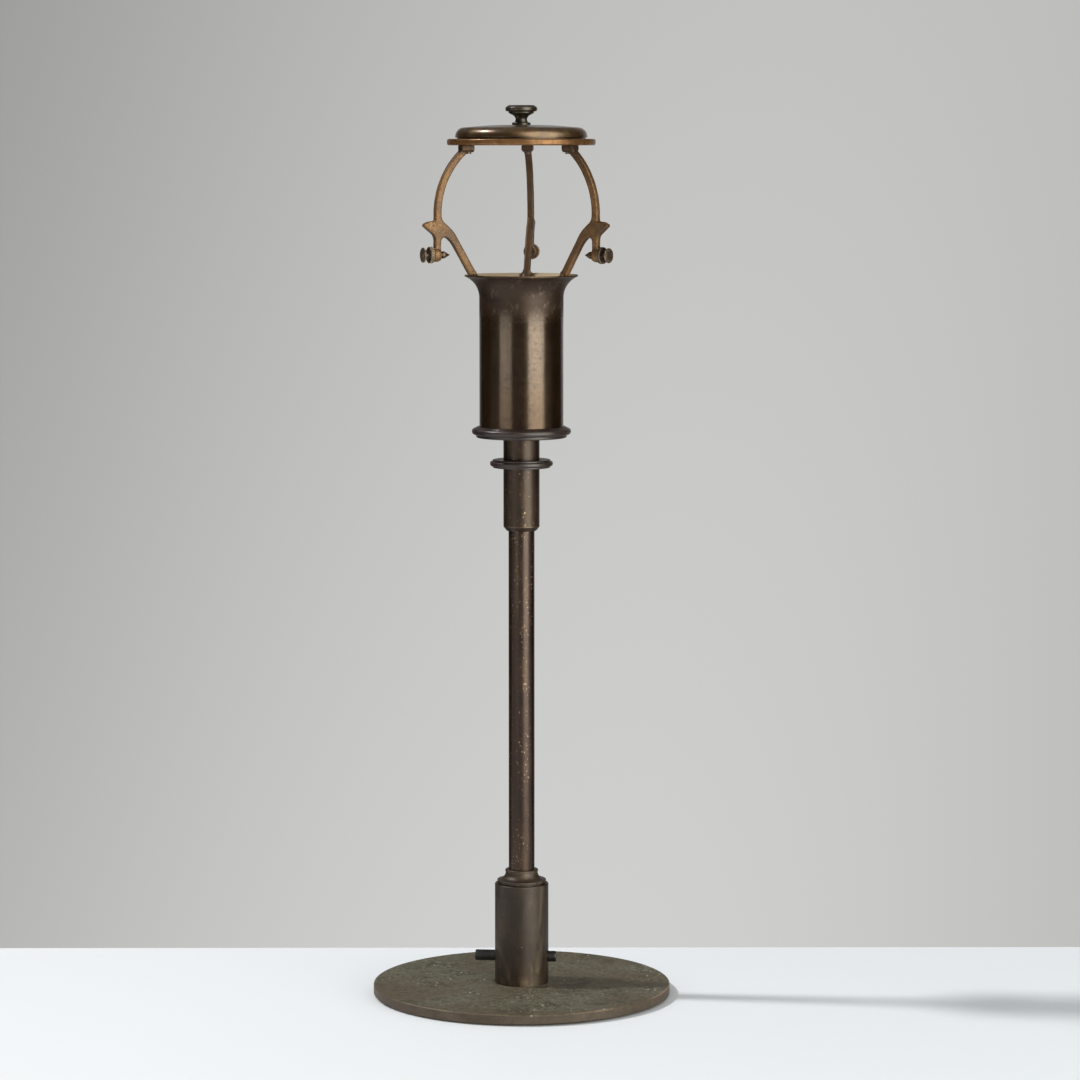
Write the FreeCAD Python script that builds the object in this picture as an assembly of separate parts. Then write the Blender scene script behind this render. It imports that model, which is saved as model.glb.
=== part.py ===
import FreeCAD
import Part

import math
import os

Vector = FreeCAD.Vector

# Table lamp stand with a three-armed shade carrier. Millimetres, +Z up.
# The origin is under the middle of the foot, on the surface that the stand rests on.
# The rear arm points along +Y, and the switch bar lies along X.

# Clearances
FIT_GAP = 0.03  # radial, where pieces screw, press or solder together
RUNNING_GAP = 0.06  # radial, where pieces turn or slide in one another
REST_GAP = 0.3  # between pieces that move past each other without being a fit

# Foot
FOOT_DIAMETER = 184.0
FOOT_THICKNESS = 6.0
FOOT_EDGE_ROUND = 0.9
FOOT_UNDER_ROUND = 0.4
FOOT_WEB = 2.4  # metal left above the bolt's recess
FOOT_RECESS_DIAMETER = 24.0
FELT_THICKNESS = 1.0
FELT_SETBACK = 2.0
BOLT_DIAMETER = 10.0
BOLT_HEAD_WIDTH = 15.0
FOOT_WASHER_DIAMETER = 21.0
FOOT_WASHER_THICKNESS = 1.0

# Pillar
PILLAR_DIAMETER = 33.2
PILLAR_WALL = 2.0
PILLAR_HEIGHT = 62.5
PILLAR_TOP_ROUND = 0.7
PLUG_HEIGHT = 6.0

# Push-through switch
BAR_DIAMETER = 6.7
BAR_HEIGHT = 16.3  # axis above the foot
BAR_LONG_REACH = 12.35  # out of the pillar on the -X side, at rest
BAR_SHORT_REACH = 5.05  # out of the pillar on the +X side, at rest
BAR_END_ROUND = 0.8
SWITCH_TOP_ABOVE_BAR = 12.7
SWITCH_BACK = 6.4  # flat back, behind the bar's axis
SWITCH_POCKET_LENGTH = 15.0
CONTACT_RING_THICKNESS = 1.0
CONTACT_RING_WIDTH = 3.0
BLADE_THICKNESS = 0.5
BLADE_LUG = 4.0  # how far the blades stand out of the switch body

# Inlet of the mains lead
CORD_BORE = 6.4
CORD_BUSH_WALL = 1.4
CORD_BUSH_BEAD = 1.2
CORD_BUSH_ROUND = 0.6
CORD_BUSH_PROUD = 1.5
CORD_BUSH_TAIL = 1.0  # inside the pillar's wall
CORD_INLET_HEIGHT = 13.0  # axis above the foot

# Reducer between pillar and stem
REDUCER_HEIGHT = 8.7
REDUCER_SETBACK = 1.5  # base inside the pillar's edge
REDUCER_BASE_HEIGHT = 2.3
REDUCER_EDGE_ROUND = 0.3
REDUCER_GROOVE_HEIGHT = 0.6
REDUCER_GROOVE_DEPTH = 0.7
REDUCER_LIP_WIDTH = 2.2  # lip around the stem
REDUCER_LIP_HEIGHT = 1.5
REDUCER_LIP_OVERHANG = 0.3
REDUCER_SPIGOT = 7.5

# Stem
STEM_DIAMETER = 16.0
STEM_WALL = 1.5
STEM_BARE_LENGTH = 210.8
STEM_NUT_DIAMETER = 25.0
STEM_NUT_HEIGHT = 4.5
STEM_NUT_ROUND = 0.7
STEM_TAIL = 1.0

# Neck and its collar
NECK_DIAMETER = 22.2
NECK_WALL = 1.5
FERRULE_LIP = 2.9
FERRULE_BAND = 0.4  # upright edge above the chamfer
FERRULE_EDGE_WIDTH = 1.1  # lower edge around the stem
FERRULE_EDGE_ROUND = 0.3
FERRULE_DEPTH = 22.0
NECK_BELOW_COLLAR = 36.0
COLLAR_DIAMETER = 38.6
COLLAR_HEIGHT = 4.9
COLLAR_STEP = 1.6  # how far the steps lie inside the bead
COLLAR_STEP_HEIGHT = 0.9
COLLAR_BEAD_ROUND = 1.3
COLLAR_EDGE_ROUND = 0.4
GRUB_DIAMETER = 2.6
FOCUS_TRAVEL = 13.3  # how far the house slides down to the collar

# Socket house and its flange
FLANGE_DIAMETER = 60.8
FLANGE_HEIGHT = 6.8
FLANGE_STEP = 2.6  # how far the lower step lies inside the bead
FLANGE_STEP_HEIGHT = 1.8
FLANGE_STEP_ROUND = 0.8
FLANGE_BEAD_HEIGHT = 3.2
FLANGE_BEAD_ROUND = 1.9
FLANGE_RIM = 1.0  # flat top around the house
HOUSE_DIAMETER = 51.5
HOUSE_WALL = 1.0
HOUSE_HEIGHT = 91.8  # lip above the flange
HOUSE_SEAT = 3.0  # how deep the house sits in the flange
HOUSE_FLOOR = 1.2
HOUSE_EDGE_ROUND = 0.5
FLARE_RADIUS = 14.0
LIP_FLARE = 9.0  # how far the lip stands out from the house
BUSH_WALL = 2.3
BUSH_SHOULDER = 2.0
BUSH_SHOULDER_HEIGHT = 1.6
BUSH_TAIL = 0.8
RING_NUT_DIAMETER = 36.0
RING_NUT_HEIGHT = 4.0
RING_NUT_SLOTS = 4
RING_NUT_SLOT_WIDTH = 3.0
RING_NUT_SLOT_DEPTH = 2.0

# Lampholder
HOLDER_DIAMETER = 38.0
HOLDER_WALL = 2.2
HOLDER_CAP_HEIGHT = 12.0
HOLDER_FLOOR = 3.0
HOLDER_ROUND = 3.0
SLEEVE_ROUND = 1.5
SLEEVE_MOUTH_ROUND = 0.7
SHELL_BORE = 26.6
SHELL_WALL = 0.6
SHELL_HEIGHT = 26.0
SHELL_RECESS = 2.0  # sleeve's rim above the shell
SHELL_LEDGE = 1.2  # how far the sleeve's ledge reaches in under the shell's bore
SHELL_LEDGE_HEIGHT = 3.2
CONTACT_DIAMETER = 8.0
CONTACT_FLAT_DIAMETER = 4.0
CONTACT_HEIGHT = 2.5
CONTACT_ROUND = 1.2
NIPPLE_DIAMETER = 10.0
NIPPLE_BORE = 7.2
NIPPLE_TAIL = 2.0
NECK_PLUG_HEIGHT = 6.0
TERMINAL_DIAMETER = 2.5
TERMINAL_HEAD_DIAMETER = 4.4
TERMINAL_HEAD_HEIGHT = 1.6
TERMINAL_LENGTH = 8.0

# Leads through the stem
WIRE_DIAMETER = 2.2
WIRE_SPACING = 3.4
WIRE_DEPTH = 6.0  # in the lampholder's insert
WIRE_SLANT_HEIGHT = 8.0
WIRE_END_RUN = 4.0
SPLICE_BACK = 9.6  # where the second lead ends, behind the switch
SPLICE_SIDE = 5.0
SPLICE_DROP = 8.0

# Arms of the shade carrier; heights are above the house's lip
ARM_NAMES = ("rear", "left", "right")
FIRST_ARM_ANGLE = 90.0
ARM_THICKNESS = 4.1
ARM_WIDTH = 4.3
ARM_EDGE_ROUND = 0.9
ARM_WIDEST_RADIUS = 55.35
ARM_WIDEST_HEIGHT = 38.0
ARM_KNEE_HEIGHT = 34.8
ARM_KNEE_ROUND = 6.0
SPUR_TIP_REACH = 10.45  # out from the arm's widest radius
SPUR_TIP_HEIGHT = 31.6
SPUR_TIP_ROUND = 1.0
SPUR_SHOULDER_REACH = 6.6
SPUR_SHOULDER_HEIGHT = 33.6
SPUR_SHOULDER_ROUND = 5.0
SPUR_TOP_HEIGHT = 34.0
SPUR_ROOT_HEIGHT = 24.8
SPUR_ROOT_ROUND = 5.0
STALK_OFFSET = 0.25  # out from the arm's widest radius
STALK_WIDTH = 4.1
CROTCH_HEIGHT = 26.4
CROTCH_ROUND = 2.4
LEG_WIDTH = 4.6
LEG_JOIN_INSET = 7.85  # the leg's middle line passes this far inside the arm's widest radius
LEG_JOIN_HEIGHT = 27.0
LEG_LANDING_INSET = 3.15  # and lands this far inside the lip's edge
LEG_INNER_BEND_HEIGHT = 27.6
LEG_OUTER_BEND_HEIGHT = 21.3
LEG_BEND_ROUND = 16.0
LEG_OVERRUN = 9.0  # drawn below the lip, then trimmed to the flare
LEG_FOOT_WIDTH = 9.0
LEG_FOOT_THICKNESS = 1.3
LEG_FOOT_DEPTH = 9.0

# Ring on the arms
RING_HEIGHT = 79.4
RING_DIAMETER = 90.4
RING_BORE = 63.0
RING_THICKNESS = 3.9
RING_EDGE_ROUND = 1.2
PAD_HEIGHT = 4.2
PAD_WIDTH = 7.0
PAD_CHAMFER = 1.4
PAD_SETBACK = 0.8  # from the ring's bore
PAD_LENGTH = 8.1
ARM_TOP_INSET = 4.15  # the arm's middle line ends this far out on the pad
RING_SCREW_INSET = 2.9
RING_SCREW_DIAMETER = 2.4
RING_SCREW_HEAD_DIAMETER = 4.0
RING_SCREW_HEAD_HEIGHT = 1.6
RING_SCREW_SPOT = 0.6
RING_SCREW_GRIP = 2.4

# Thumb screw, lock nut and tip on each arm
SCREW_HEIGHT = 13.5
SCREW_DIAMETER = 3.0
BOSS_DIAMETER = 8.4
BOSS_INSET = 2.0  # inner face, inside the stalk's middle
BOSS_LENGTH = 5.0
BOSS_NOSE_DIAMETER = 6.8
BOSS_ROUND = 0.6
NUT_DIAMETER = 10.2
NUT_THICKNESS = 2.5
NUT_FLUTES = 26
NUT_FLUTE_DIAMETER = 0.7
NUT_EDGE_ROUND = 0.5
NUT_RIM = 1.2
NUT_DISH_DEPTH = 0.6
NUT_FACE_GAP = 0.1
HEAD_DIAMETER = 9.1
HEAD_THICKNESS = 1.7
HEAD_EDGE = 0.8  # upright edge of the head
HEAD_EDGE_ROUND = 0.4
HEAD_FLAT_DIAMETER = 4.5
HEAD_FACE_ROUND = 9.0
HEAD_STANDOUT = 7.0  # from the boss to the head's face
TIP_DIAMETER = 4.4
TIP_STANDOUT = 6.4  # from the boss to the tip's point
TIP_POINT_LENGTH = 4.0
TIP_LENGTH = 5.2
TIP_SHOULDER_ROUND = 0.8
TIP_SPIGOT_DIAMETER = 1.5
TIP_SPIGOT_LENGTH = 1.2

# Lid
LID_DIAMETER = 80.4
LID_HEIGHT = 7.6
LID_STANDOFF = 0.8  # dome's edge above the ring
LID_CROWN = 1.9
LID_CROWN_RADIUS = 17.0
LID_CROWN_ROUND = 150.0
LID_EDGE_ROUND = 5.5
LID_WALL = 1.0
LID_SEAT_THICKNESS = 1.2
LID_SPIGOT_WALL = 1.0
LID_SPIGOT_DEPTH = 2.4
KNOB_WASHER_DIAMETER = 11.4
KNOB_WASHER_THICKNESS = 1.6
KNOB_WASHER_ROUND = 0.6
KNOB_BASE_DIAMETER = 8.4
KNOB_NECK_DIAMETER = 6.4
KNOB_NECK_HEIGHT = 1.9
KNOB_NECK_ROUND = 2.0
KNOB_THROAT_DIAMETER = 9.0
KNOB_THROAT_HEIGHT = 4.0
KNOB_THROAT_ROUND = 3.0
KNOB_STEP_DIAMETER = 15.4
KNOB_STEP_HEIGHT = 5.6
KNOB_DIAMETER = 19.4
KNOB_RIM_HEIGHT = 6.6
KNOB_RIM_THICKNESS = 2.4
KNOB_RIM_ROUND = 1.1
KNOB_TOP_DIAMETER = 15.4
KNOB_EDGE_ROUND = 0.4
KNOB_HEIGHT = 10.4
KNOB_SHANK_DIAMETER = 4.8
KNOB_NUT_DIAMETER = 9.0
KNOB_NUT_HEIGHT = 2.5
KNOB_NUT_ROUND = 0.5

# Places along the axis, from the floor up
foot_bottom = FELT_THICKNESS
foot_top = foot_bottom + FOOT_THICKNESS
recess_top = foot_top - FOOT_WEB
plug_top = foot_top + PLUG_HEIGHT
bar_axis = foot_top + BAR_HEIGHT
cord_axis = foot_top + CORD_INLET_HEIGHT
switch_top = bar_axis + SWITCH_TOP_ABOVE_BAR
pillar_top = foot_top + PILLAR_HEIGHT
spigot_bottom = pillar_top - REDUCER_SPIGOT
stem_nut_bottom = spigot_bottom - STEM_NUT_HEIGHT
stem_bottom = stem_nut_bottom - STEM_TAIL
reducer_top = pillar_top + REDUCER_HEIGHT
ferrule_bottom = reducer_top + STEM_BARE_LENGTH
neck_bottom = ferrule_bottom + FERRULE_LIP
ferrule_top = neck_bottom + FERRULE_DEPTH
collar_bottom = neck_bottom + NECK_BELOW_COLLAR
collar_top = collar_bottom + COLLAR_HEIGHT
flange_bottom = collar_top + FOCUS_TRAVEL + REST_GAP
flange_top = flange_bottom + FLANGE_HEIGHT
house_bottom = flange_top - HOUSE_SEAT
house_floor_top = house_bottom + HOUSE_FLOOR
ring_nut_top = house_floor_top + RING_NUT_HEIGHT
bush_top = ring_nut_top + BUSH_TAIL
neck_top = bush_top + REST_GAP
holder_floor_top = neck_top + HOLDER_FLOOR
holder_cap_top = neck_top + HOLDER_CAP_HEIGHT
shell_bottom = holder_cap_top + SHELL_LEDGE_HEIGHT
shell_top = shell_bottom + SHELL_HEIGHT
sleeve_top = shell_top + SHELL_RECESS
lip = flange_top + HOUSE_HEIGHT
screw_axis = lip + SCREW_HEIGHT
arm_widest = lip + ARM_WIDEST_HEIGHT
ring_bottom = lip + RING_HEIGHT
pad_bottom = ring_bottom - PAD_HEIGHT
ring_top = ring_bottom + RING_THICKNESS
lid_bottom = ring_top + LID_STANDOFF
lid_top = lid_bottom + LID_HEIGHT
knob_bottom = lid_top + KNOB_WASHER_THICKNESS
knob_top = knob_bottom + KNOB_HEIGHT

# Radii that several pieces share
foot_radius = FOOT_DIAMETER / 2
recess_radius = FOOT_RECESS_DIAMETER / 2
bolt_radius = BOLT_DIAMETER / 2
pillar_radius = PILLAR_DIAMETER / 2
pillar_bore = pillar_radius - PILLAR_WALL
bar_radius = BAR_DIAMETER / 2
contact_ring_radius = bar_radius + CONTACT_RING_THICKNESS
bush_sleeve_radius = CORD_BORE / 2 + CORD_BUSH_WALL
stem_radius = STEM_DIAMETER / 2
stem_bore = stem_radius - STEM_WALL
neck_radius = NECK_DIAMETER / 2
neck_bore = neck_radius - NECK_WALL
guide_radius = neck_radius + RUNNING_GAP + BUSH_WALL
house_radius = HOUSE_DIAMETER / 2
lip_radius = house_radius + LIP_FLARE
leg_landing = lip_radius - LEG_LANDING_INSET
flare_centre = house_radius + FLARE_RADIUS
nipple_radius = NIPPLE_DIAMETER / 2
holder_radius = HOLDER_DIAMETER / 2
holder_bore = holder_radius - HOLDER_WALL
insert_radius = holder_bore - FIT_GAP
shell_radius = SHELL_BORE / 2 + SHELL_WALL
ring_radius = RING_DIAMETER / 2
ring_bore = RING_BORE / 2
wire_radius = WIRE_DIAMETER / 2
screw_radius = SCREW_DIAMETER / 2
boss_bore = screw_radius + RUNNING_GAP
stalk_radius = ARM_WIDEST_RADIUS + STALK_OFFSET
boss_inner = stalk_radius - BOSS_INSET
boss_face = boss_inner + BOSS_LENGTH
nut_face = boss_face + NUT_FACE_GAP
head_face = boss_face + HEAD_STANDOUT
tip_point = boss_inner - TIP_STANDOUT
tip_back = tip_point + TIP_LENGTH
pad_inner = ring_bore + PAD_SETBACK
arm_top_radius = pad_inner + ARM_TOP_INSET
ring_screw_radius = pad_inner + RING_SCREW_INSET
lid_radius = LID_DIAMETER / 2
knob_shank_radius = KNOB_SHANK_DIAMETER / 2

# Flare: the angle at which its arc reaches the lip, and the height of the arc's centre
flare_angle = math.acos((flare_centre - lip_radius) / FLARE_RADIUS)
flare_height = lip - FLARE_RADIUS * math.sin(flare_angle)

# Bar travel: the long end goes in until the short end stands out as far
bar_travel = BAR_LONG_REACH - BAR_SHORT_REACH
blade_place = bar_travel / 2

AXIS = Vector(0, 0, 1)
ORIGIN = Vector(0, 0, 0)
HEX_SIDES = 6

# Share of an edge that its two corners' roundings may take, and of a run that a wire's bend takes
EDGE_SHARE = 0.98
BEND_SHARE = 0.45


def rounded_edges(points, closed=True):
    """Edges through (r, z) points in the X-Z plane; a third number rounds that corner."""
    places = [Vector(p[0], 0, p[1]) for p in points]
    count = len(places)
    ways = [(places[i - 1] - places[i], places[(i + 1) % count] - places[i]) for i in range(count)]
    halves = [back.getAngle(ahead) / 2 for back, ahead in ways]
    reaches = [p[2] / math.tan(half) if len(p) > 2 else 0.0 for p, half in zip(points, halves)]
    corners = []
    for i, (back, ahead) in enumerate(ways):
        if not reaches[i]:
            corners.append((places[i], places[i], None))
            continue
        both_back = reaches[i - 1] + reaches[i]
        both_ahead = reaches[i] + reaches[(i + 1) % count]
        share = min(1.0, EDGE_SHARE * back.Length / both_back, EDGE_SHARE * ahead.Length / both_ahead)
        reach = reaches[i] * share
        corners.append(rounded_corner(places[i], back, ahead, halves[i], reach))
    edges = []
    for i, (arrive, leave, middle) in enumerate(corners):
        if middle:
            edges.append(Part.Arc(arrive, middle, leave).toShape())
        if closed or i < count - 1:
            following = corners[(i + 1) % count][0]
            edges.append(Part.LineSegment(leave, following).toShape())
    return edges


def rounded_corner(place, back, ahead, half, reach):
    """Start, end and middle of the arc that rounds a corner, reaching a length along both its edges."""
    radius = reach * math.tan(half)
    towards = (back.normalize() + ahead.normalize()).normalize()
    middle = place + towards * (radius / math.sin(half) - radius)
    return place + back * reach, place + ahead * reach, middle


def turned_edges(edges):
    """Solid turned about the Z axis from a closed outline's edges."""
    return Part.Face(Part.Wire(edges)).revolve(ORIGIN, AXIS, 360)


def turned(points):
    """Solid turned about the Z axis from (r, z[, rounding]) points."""
    return turned_edges(rounded_edges(points))


def disc(radius, bottom, top, bore=0.0):
    """Plain disc or ring about the Z axis."""
    return turned([(bore, bottom), (radius, bottom), (radius, top), (bore, top)])


def rod(radius, start, end):
    """Cylinder between two points."""
    return Part.makeCylinder(radius, (end - start).Length, start, end - start)


def block(low, high):
    """Box between two corners."""
    size = high - low
    return Part.makeBox(size.x, size.y, size.z, low)


def turned_by(shape, angle):
    """Copy of a shape turned about the Z axis."""
    copy = shape.copy()
    copy.rotate(ORIGIN, AXIS, angle)
    return copy


def on_radius(shape, height):
    """Copy of a shape turned about Z, laid along +X at a height."""
    copy = shape.copy()
    copy.rotate(ORIGIN, Vector(0, 1, 0), 90)
    copy.translate(Vector(0, 0, height))
    return copy


def one(shape):
    """The single solid of a shape that was cut or fused."""
    (solid,) = shape.removeSplitter().Solids
    return solid


def bent_rod(points, radius):
    """Round wire along straight runs joined by tangent arcs."""
    edges = []
    leave = points[0]
    for before, corner, after in zip(points, points[1:], points[2:]):
        back = before - corner
        ahead = after - corner
        half = back.getAngle(ahead) / 2
        reach = BEND_SHARE * min(back.Length, ahead.Length)
        arrive, following, middle = rounded_corner(corner, back, ahead, half, reach)
        edges.append(Part.LineSegment(leave, arrive).toShape())
        edges.append(Part.Arc(arrive, middle, following).toShape())
        leave = following
    edges.append(Part.LineSegment(leave, points[-1]).toShape())
    section = Part.Wire(Part.makeCircle(radius, points[0], points[1] - points[0]))
    return Part.Wire(edges).makePipeShell([section], True, True)


def turned_point(radius, angle, height):
    """Point at a radius, an angle about Z and a height."""
    turn = math.radians(angle)
    return Vector(radius * math.cos(turn), radius * math.sin(turn), height)


def foot():
    plate = turned([
        (bolt_radius + FIT_GAP, foot_top),
        (bolt_radius + FIT_GAP, recess_top),
        (recess_radius, recess_top),
        (recess_radius, foot_bottom),
        (foot_radius, foot_bottom, FOOT_UNDER_ROUND),
        (foot_radius, foot_top, FOOT_EDGE_ROUND),
    ])
    felt = disc(foot_radius - FELT_SETBACK, 0, foot_bottom, recess_radius)
    washer_bottom = recess_top - FOOT_WASHER_THICKNESS
    washer = disc(FOOT_WASHER_DIAMETER / 2, washer_bottom, recess_top, bolt_radius + FIT_GAP)
    across_corners = BOLT_HEAD_WIDTH / math.cos(math.radians(180 / HEX_SIDES))
    corners = [
        turned_point(across_corners / 2, 360 / HEX_SIDES * side, foot_bottom) for side in range(HEX_SIDES)
    ]
    head = Part.Face(Part.makePolygon(corners + corners[:1]))
    head = head.extrude(AXIS * (washer_bottom - foot_bottom))
    shank = disc(bolt_radius, foot_bottom, plug_top)
    return {
        "foot_plate": plate,
        "foot_felt": felt,
        "foot_washer": washer,
        "foot_bolt": one(head.fuse(shank)),
    }


def pillar():
    tube = turned([
        (pillar_bore, foot_top),
        (pillar_radius, foot_top),
        (pillar_radius, pillar_top, PILLAR_TOP_ROUND),
        (pillar_bore, pillar_top),
    ])
    through = Vector(pillar_radius, 0, 0)
    level = Vector(0, 0, bar_axis)
    bar_hole = rod(bar_radius + REST_GAP, level - through, level + through)
    behind = Vector(0, pillar_radius, cord_axis)
    cord_hole = rod(bush_sleeve_radius + FIT_GAP, Vector(0, 0, cord_axis), behind)
    plug = disc(pillar_bore - FIT_GAP, foot_top, plug_top, bolt_radius + FIT_GAP)
    return {
        "pillar_tube": one(tube.cut(bar_hole).cut(cord_hole)),
        "pillar_plug": plug,
        "cord_bush": cord_bush(),
    }


def cord_bush():
    back = Vector(0, 1, 0)
    level = Vector(0, 0, cord_axis)
    inner = level + back * (pillar_bore - CORD_BUSH_TAIL)
    outer = level + back * (pillar_radius + CORD_BUSH_PROUD)
    bead = rod(bush_sleeve_radius + CORD_BUSH_BEAD, level + back * pillar_bore, outer)
    rim = max(bead.Edges, key=lambda edge: edge.CenterOfMass.y)
    bead = bead.makeFillet(CORD_BUSH_ROUND, [rim])
    bead = bead.cut(disc(pillar_radius + FIT_GAP, foot_top, pillar_top))
    sleeve = rod(bush_sleeve_radius, inner, outer)
    return one(bead.fuse(sleeve).cut(rod(CORD_BORE / 2, inner, outer)))


def switch():
    """Bar, its contact ring, and the body and blades that it runs between."""
    left = Vector(-pillar_radius - BAR_LONG_REACH, 0, bar_axis)
    right = Vector(pillar_radius + BAR_SHORT_REACH, 0, bar_axis)
    bar = rod(bar_radius, left, right)
    ends = [edge for edge in bar.Edges if abs(edge.CenterOfMass.x) > pillar_radius]
    ends = [edge for edge in ends if edge.BoundBox.XLength < FIT_GAP]
    bar = bar.makeFillet(BAR_END_ROUND, ends)
    half_ring = Vector(CONTACT_RING_WIDTH / 2, 0, 0)
    ring_place = Vector(-blade_place, 0, bar_axis)
    ring = rod(contact_ring_radius, ring_place - half_ring, ring_place + half_ring)
    ring = ring.cut(rod(bar_radius, left, right))

    pocket_side = contact_ring_radius + RUNNING_GAP + BLADE_THICKNESS
    pocket_half = SWITCH_POCKET_LENGTH / 2
    pocket_bottom = bar_axis - contact_ring_radius - REST_GAP
    body = disc(pillar_bore - FIT_GAP, plug_top, switch_top)
    body = body.cut(block(
        Vector(-pillar_radius, SWITCH_BACK, plug_top),
        Vector(pillar_radius, pillar_radius, switch_top),
    ))
    body = body.cut(block(
        Vector(-pocket_half, -pocket_side, pocket_bottom),
        Vector(pocket_half, pocket_side, switch_top),
    ))
    body = one(body.cut(rod(bar_radius + RUNNING_GAP, left, right)))

    blade_inner = pocket_side - BLADE_THICKNESS
    blades = []
    for side in (-1, 1):
        low = min(side * blade_inner, side * pocket_side)
        blades.append(block(
            Vector(blade_place - CONTACT_RING_WIDTH / 2, low, pocket_bottom),
            Vector(blade_place + CONTACT_RING_WIDTH / 2, low + BLADE_THICKNESS, switch_top + BLADE_LUG),
        ))
    return {
        "switch_bar": bar,
        "bar_contact_ring": one(ring),
        "switch_body": body,
        "switch_contacts": Part.makeCompound(blades),
    }


def stem():
    base = pillar_radius - REDUCER_SETBACK
    lip_edge = stem_radius + REDUCER_LIP_WIDTH
    throat = lip_edge - REDUCER_LIP_OVERHANG
    base_top = pillar_top + REDUCER_BASE_HEIGHT
    lip_bottom = reducer_top - REDUCER_LIP_HEIGHT
    groove_top = pillar_top + REDUCER_GROOVE_HEIGHT
    bore = stem_radius + FIT_GAP
    spigot = pillar_bore - FIT_GAP
    reducer = turned([
        (bore, spigot_bottom),
        (spigot, spigot_bottom),
        (spigot, pillar_top),
        (base - REDUCER_GROOVE_DEPTH, pillar_top),
        (base - REDUCER_GROOVE_DEPTH, groove_top),
        (base, groove_top, REDUCER_EDGE_ROUND),
        (base, base_top, REDUCER_EDGE_ROUND),
        (throat, base_top, lip_bottom - base_top),
        (throat, lip_bottom),
        (lip_edge, lip_bottom, REDUCER_EDGE_ROUND),
        (lip_edge, reducer_top, REDUCER_LIP_HEIGHT / 2),
        (bore, reducer_top),
    ])
    tube = disc(stem_radius, stem_bottom, ferrule_top, stem_bore)
    nut = turned([
        (bore, stem_nut_bottom),
        (STEM_NUT_DIAMETER / 2, stem_nut_bottom, STEM_NUT_ROUND),
        (STEM_NUT_DIAMETER / 2, spigot_bottom),
        (bore, spigot_bottom),
    ])
    return {"pillar_reducer": reducer, "stem_tube": tube, "stem_lock_nut": nut}


def neck():
    bore = stem_radius + FIT_GAP
    edge = stem_radius + FERRULE_EDGE_WIDTH
    plug_radius = neck_bore - FIT_GAP
    ferrule = turned([
        (bore, ferrule_bottom),
        (edge, ferrule_bottom, FERRULE_EDGE_ROUND),
        (neck_radius, neck_bottom - FERRULE_BAND, FERRULE_EDGE_ROUND),
        (neck_radius, neck_bottom),
        (plug_radius, neck_bottom),
        (plug_radius, ferrule_top),
        (bore, ferrule_top),
    ])
    tube = disc(neck_radius, neck_bottom, neck_top, neck_bore)
    plug = disc(plug_radius, neck_top - NECK_PLUG_HEIGHT, neck_top, nipple_radius + FIT_GAP)
    nipple_bottom = neck_top - NECK_PLUG_HEIGHT - NIPPLE_TAIL
    nipple = disc(nipple_radius, nipple_bottom, holder_floor_top, NIPPLE_BORE / 2)
    collar_ring, grub = collar()
    return {
        "neck_ferrule": ferrule,
        "neck_tube": tube,
        "neck_plug": plug,
        "socket_nipple": nipple,
        "collar_ring": collar_ring,
        "collar_grub_screw": grub,
    }


def collar():
    """Moulded ring with a bead between two steps, and the grub screw at its back."""
    bead = COLLAR_DIAMETER / 2
    step = bead - COLLAR_STEP
    bead_bottom = collar_bottom + COLLAR_STEP_HEIGHT
    bead_top = collar_top - COLLAR_STEP_HEIGHT
    bore = neck_radius + FIT_GAP
    ring = turned([
        (bore, collar_bottom),
        (step, collar_bottom, COLLAR_EDGE_ROUND),
        (step, bead_bottom),
        (bead, bead_bottom, COLLAR_BEAD_ROUND),
        (bead, bead_top, COLLAR_BEAD_ROUND),
        (step, bead_top),
        (step, collar_top, COLLAR_EDGE_ROUND),
        (bore, collar_top),
    ])
    middle = Vector(0, 0, (collar_bottom + collar_top) / 2)
    back = Vector(0, 1, 0)
    seat = middle + back * bore
    grub = rod(GRUB_DIAMETER / 2, seat, middle + back * step)
    hole = rod(GRUB_DIAMETER / 2 + FIT_GAP, middle, middle + back * (bead + COLLAR_STEP))
    return one(ring.cut(hole)), grub


def house():
    return {
        "socket_house": socket_house(),
        "house_flange": house_flange(),
        "guide_bush": guide_bush(),
        "bush_ring_nut": bush_ring_nut(),
    }


def flare_point(radius, angle):
    """Point on an arc about the flare's centre, with the angle measured up from the house's wall."""
    return Vector(
        flare_centre - radius * math.cos(angle), 0, flare_height + radius * math.sin(angle)
    )


def flare_arc(radius):
    """Arc of the flare from the straight wall up to the lip."""
    stations = [flare_point(radius, flare_angle * share) for share in (0, 0.5, 1)]
    return Part.Arc(*stations).toShape()


def socket_house():
    """Spun cup with a pierced floor and a trumpet mouth."""
    outer = FLARE_RADIUS
    inner = FLARE_RADIUS + HOUSE_WALL
    bore = guide_radius + FIT_GAP
    walls = rounded_edges([
        (house_radius - HOUSE_WALL, flare_height),
        (house_radius - HOUSE_WALL, house_floor_top),
        (bore, house_floor_top),
        (bore, house_bottom),
        (house_radius, house_bottom, HOUSE_EDGE_ROUND),
        (house_radius, flare_height),
    ], closed=False)
    rim = Part.LineSegment(flare_point(outer, flare_angle), flare_point(inner, flare_angle)).toShape()
    return turned_edges(walls + [flare_arc(outer), rim, flare_arc(inner)])


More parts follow.
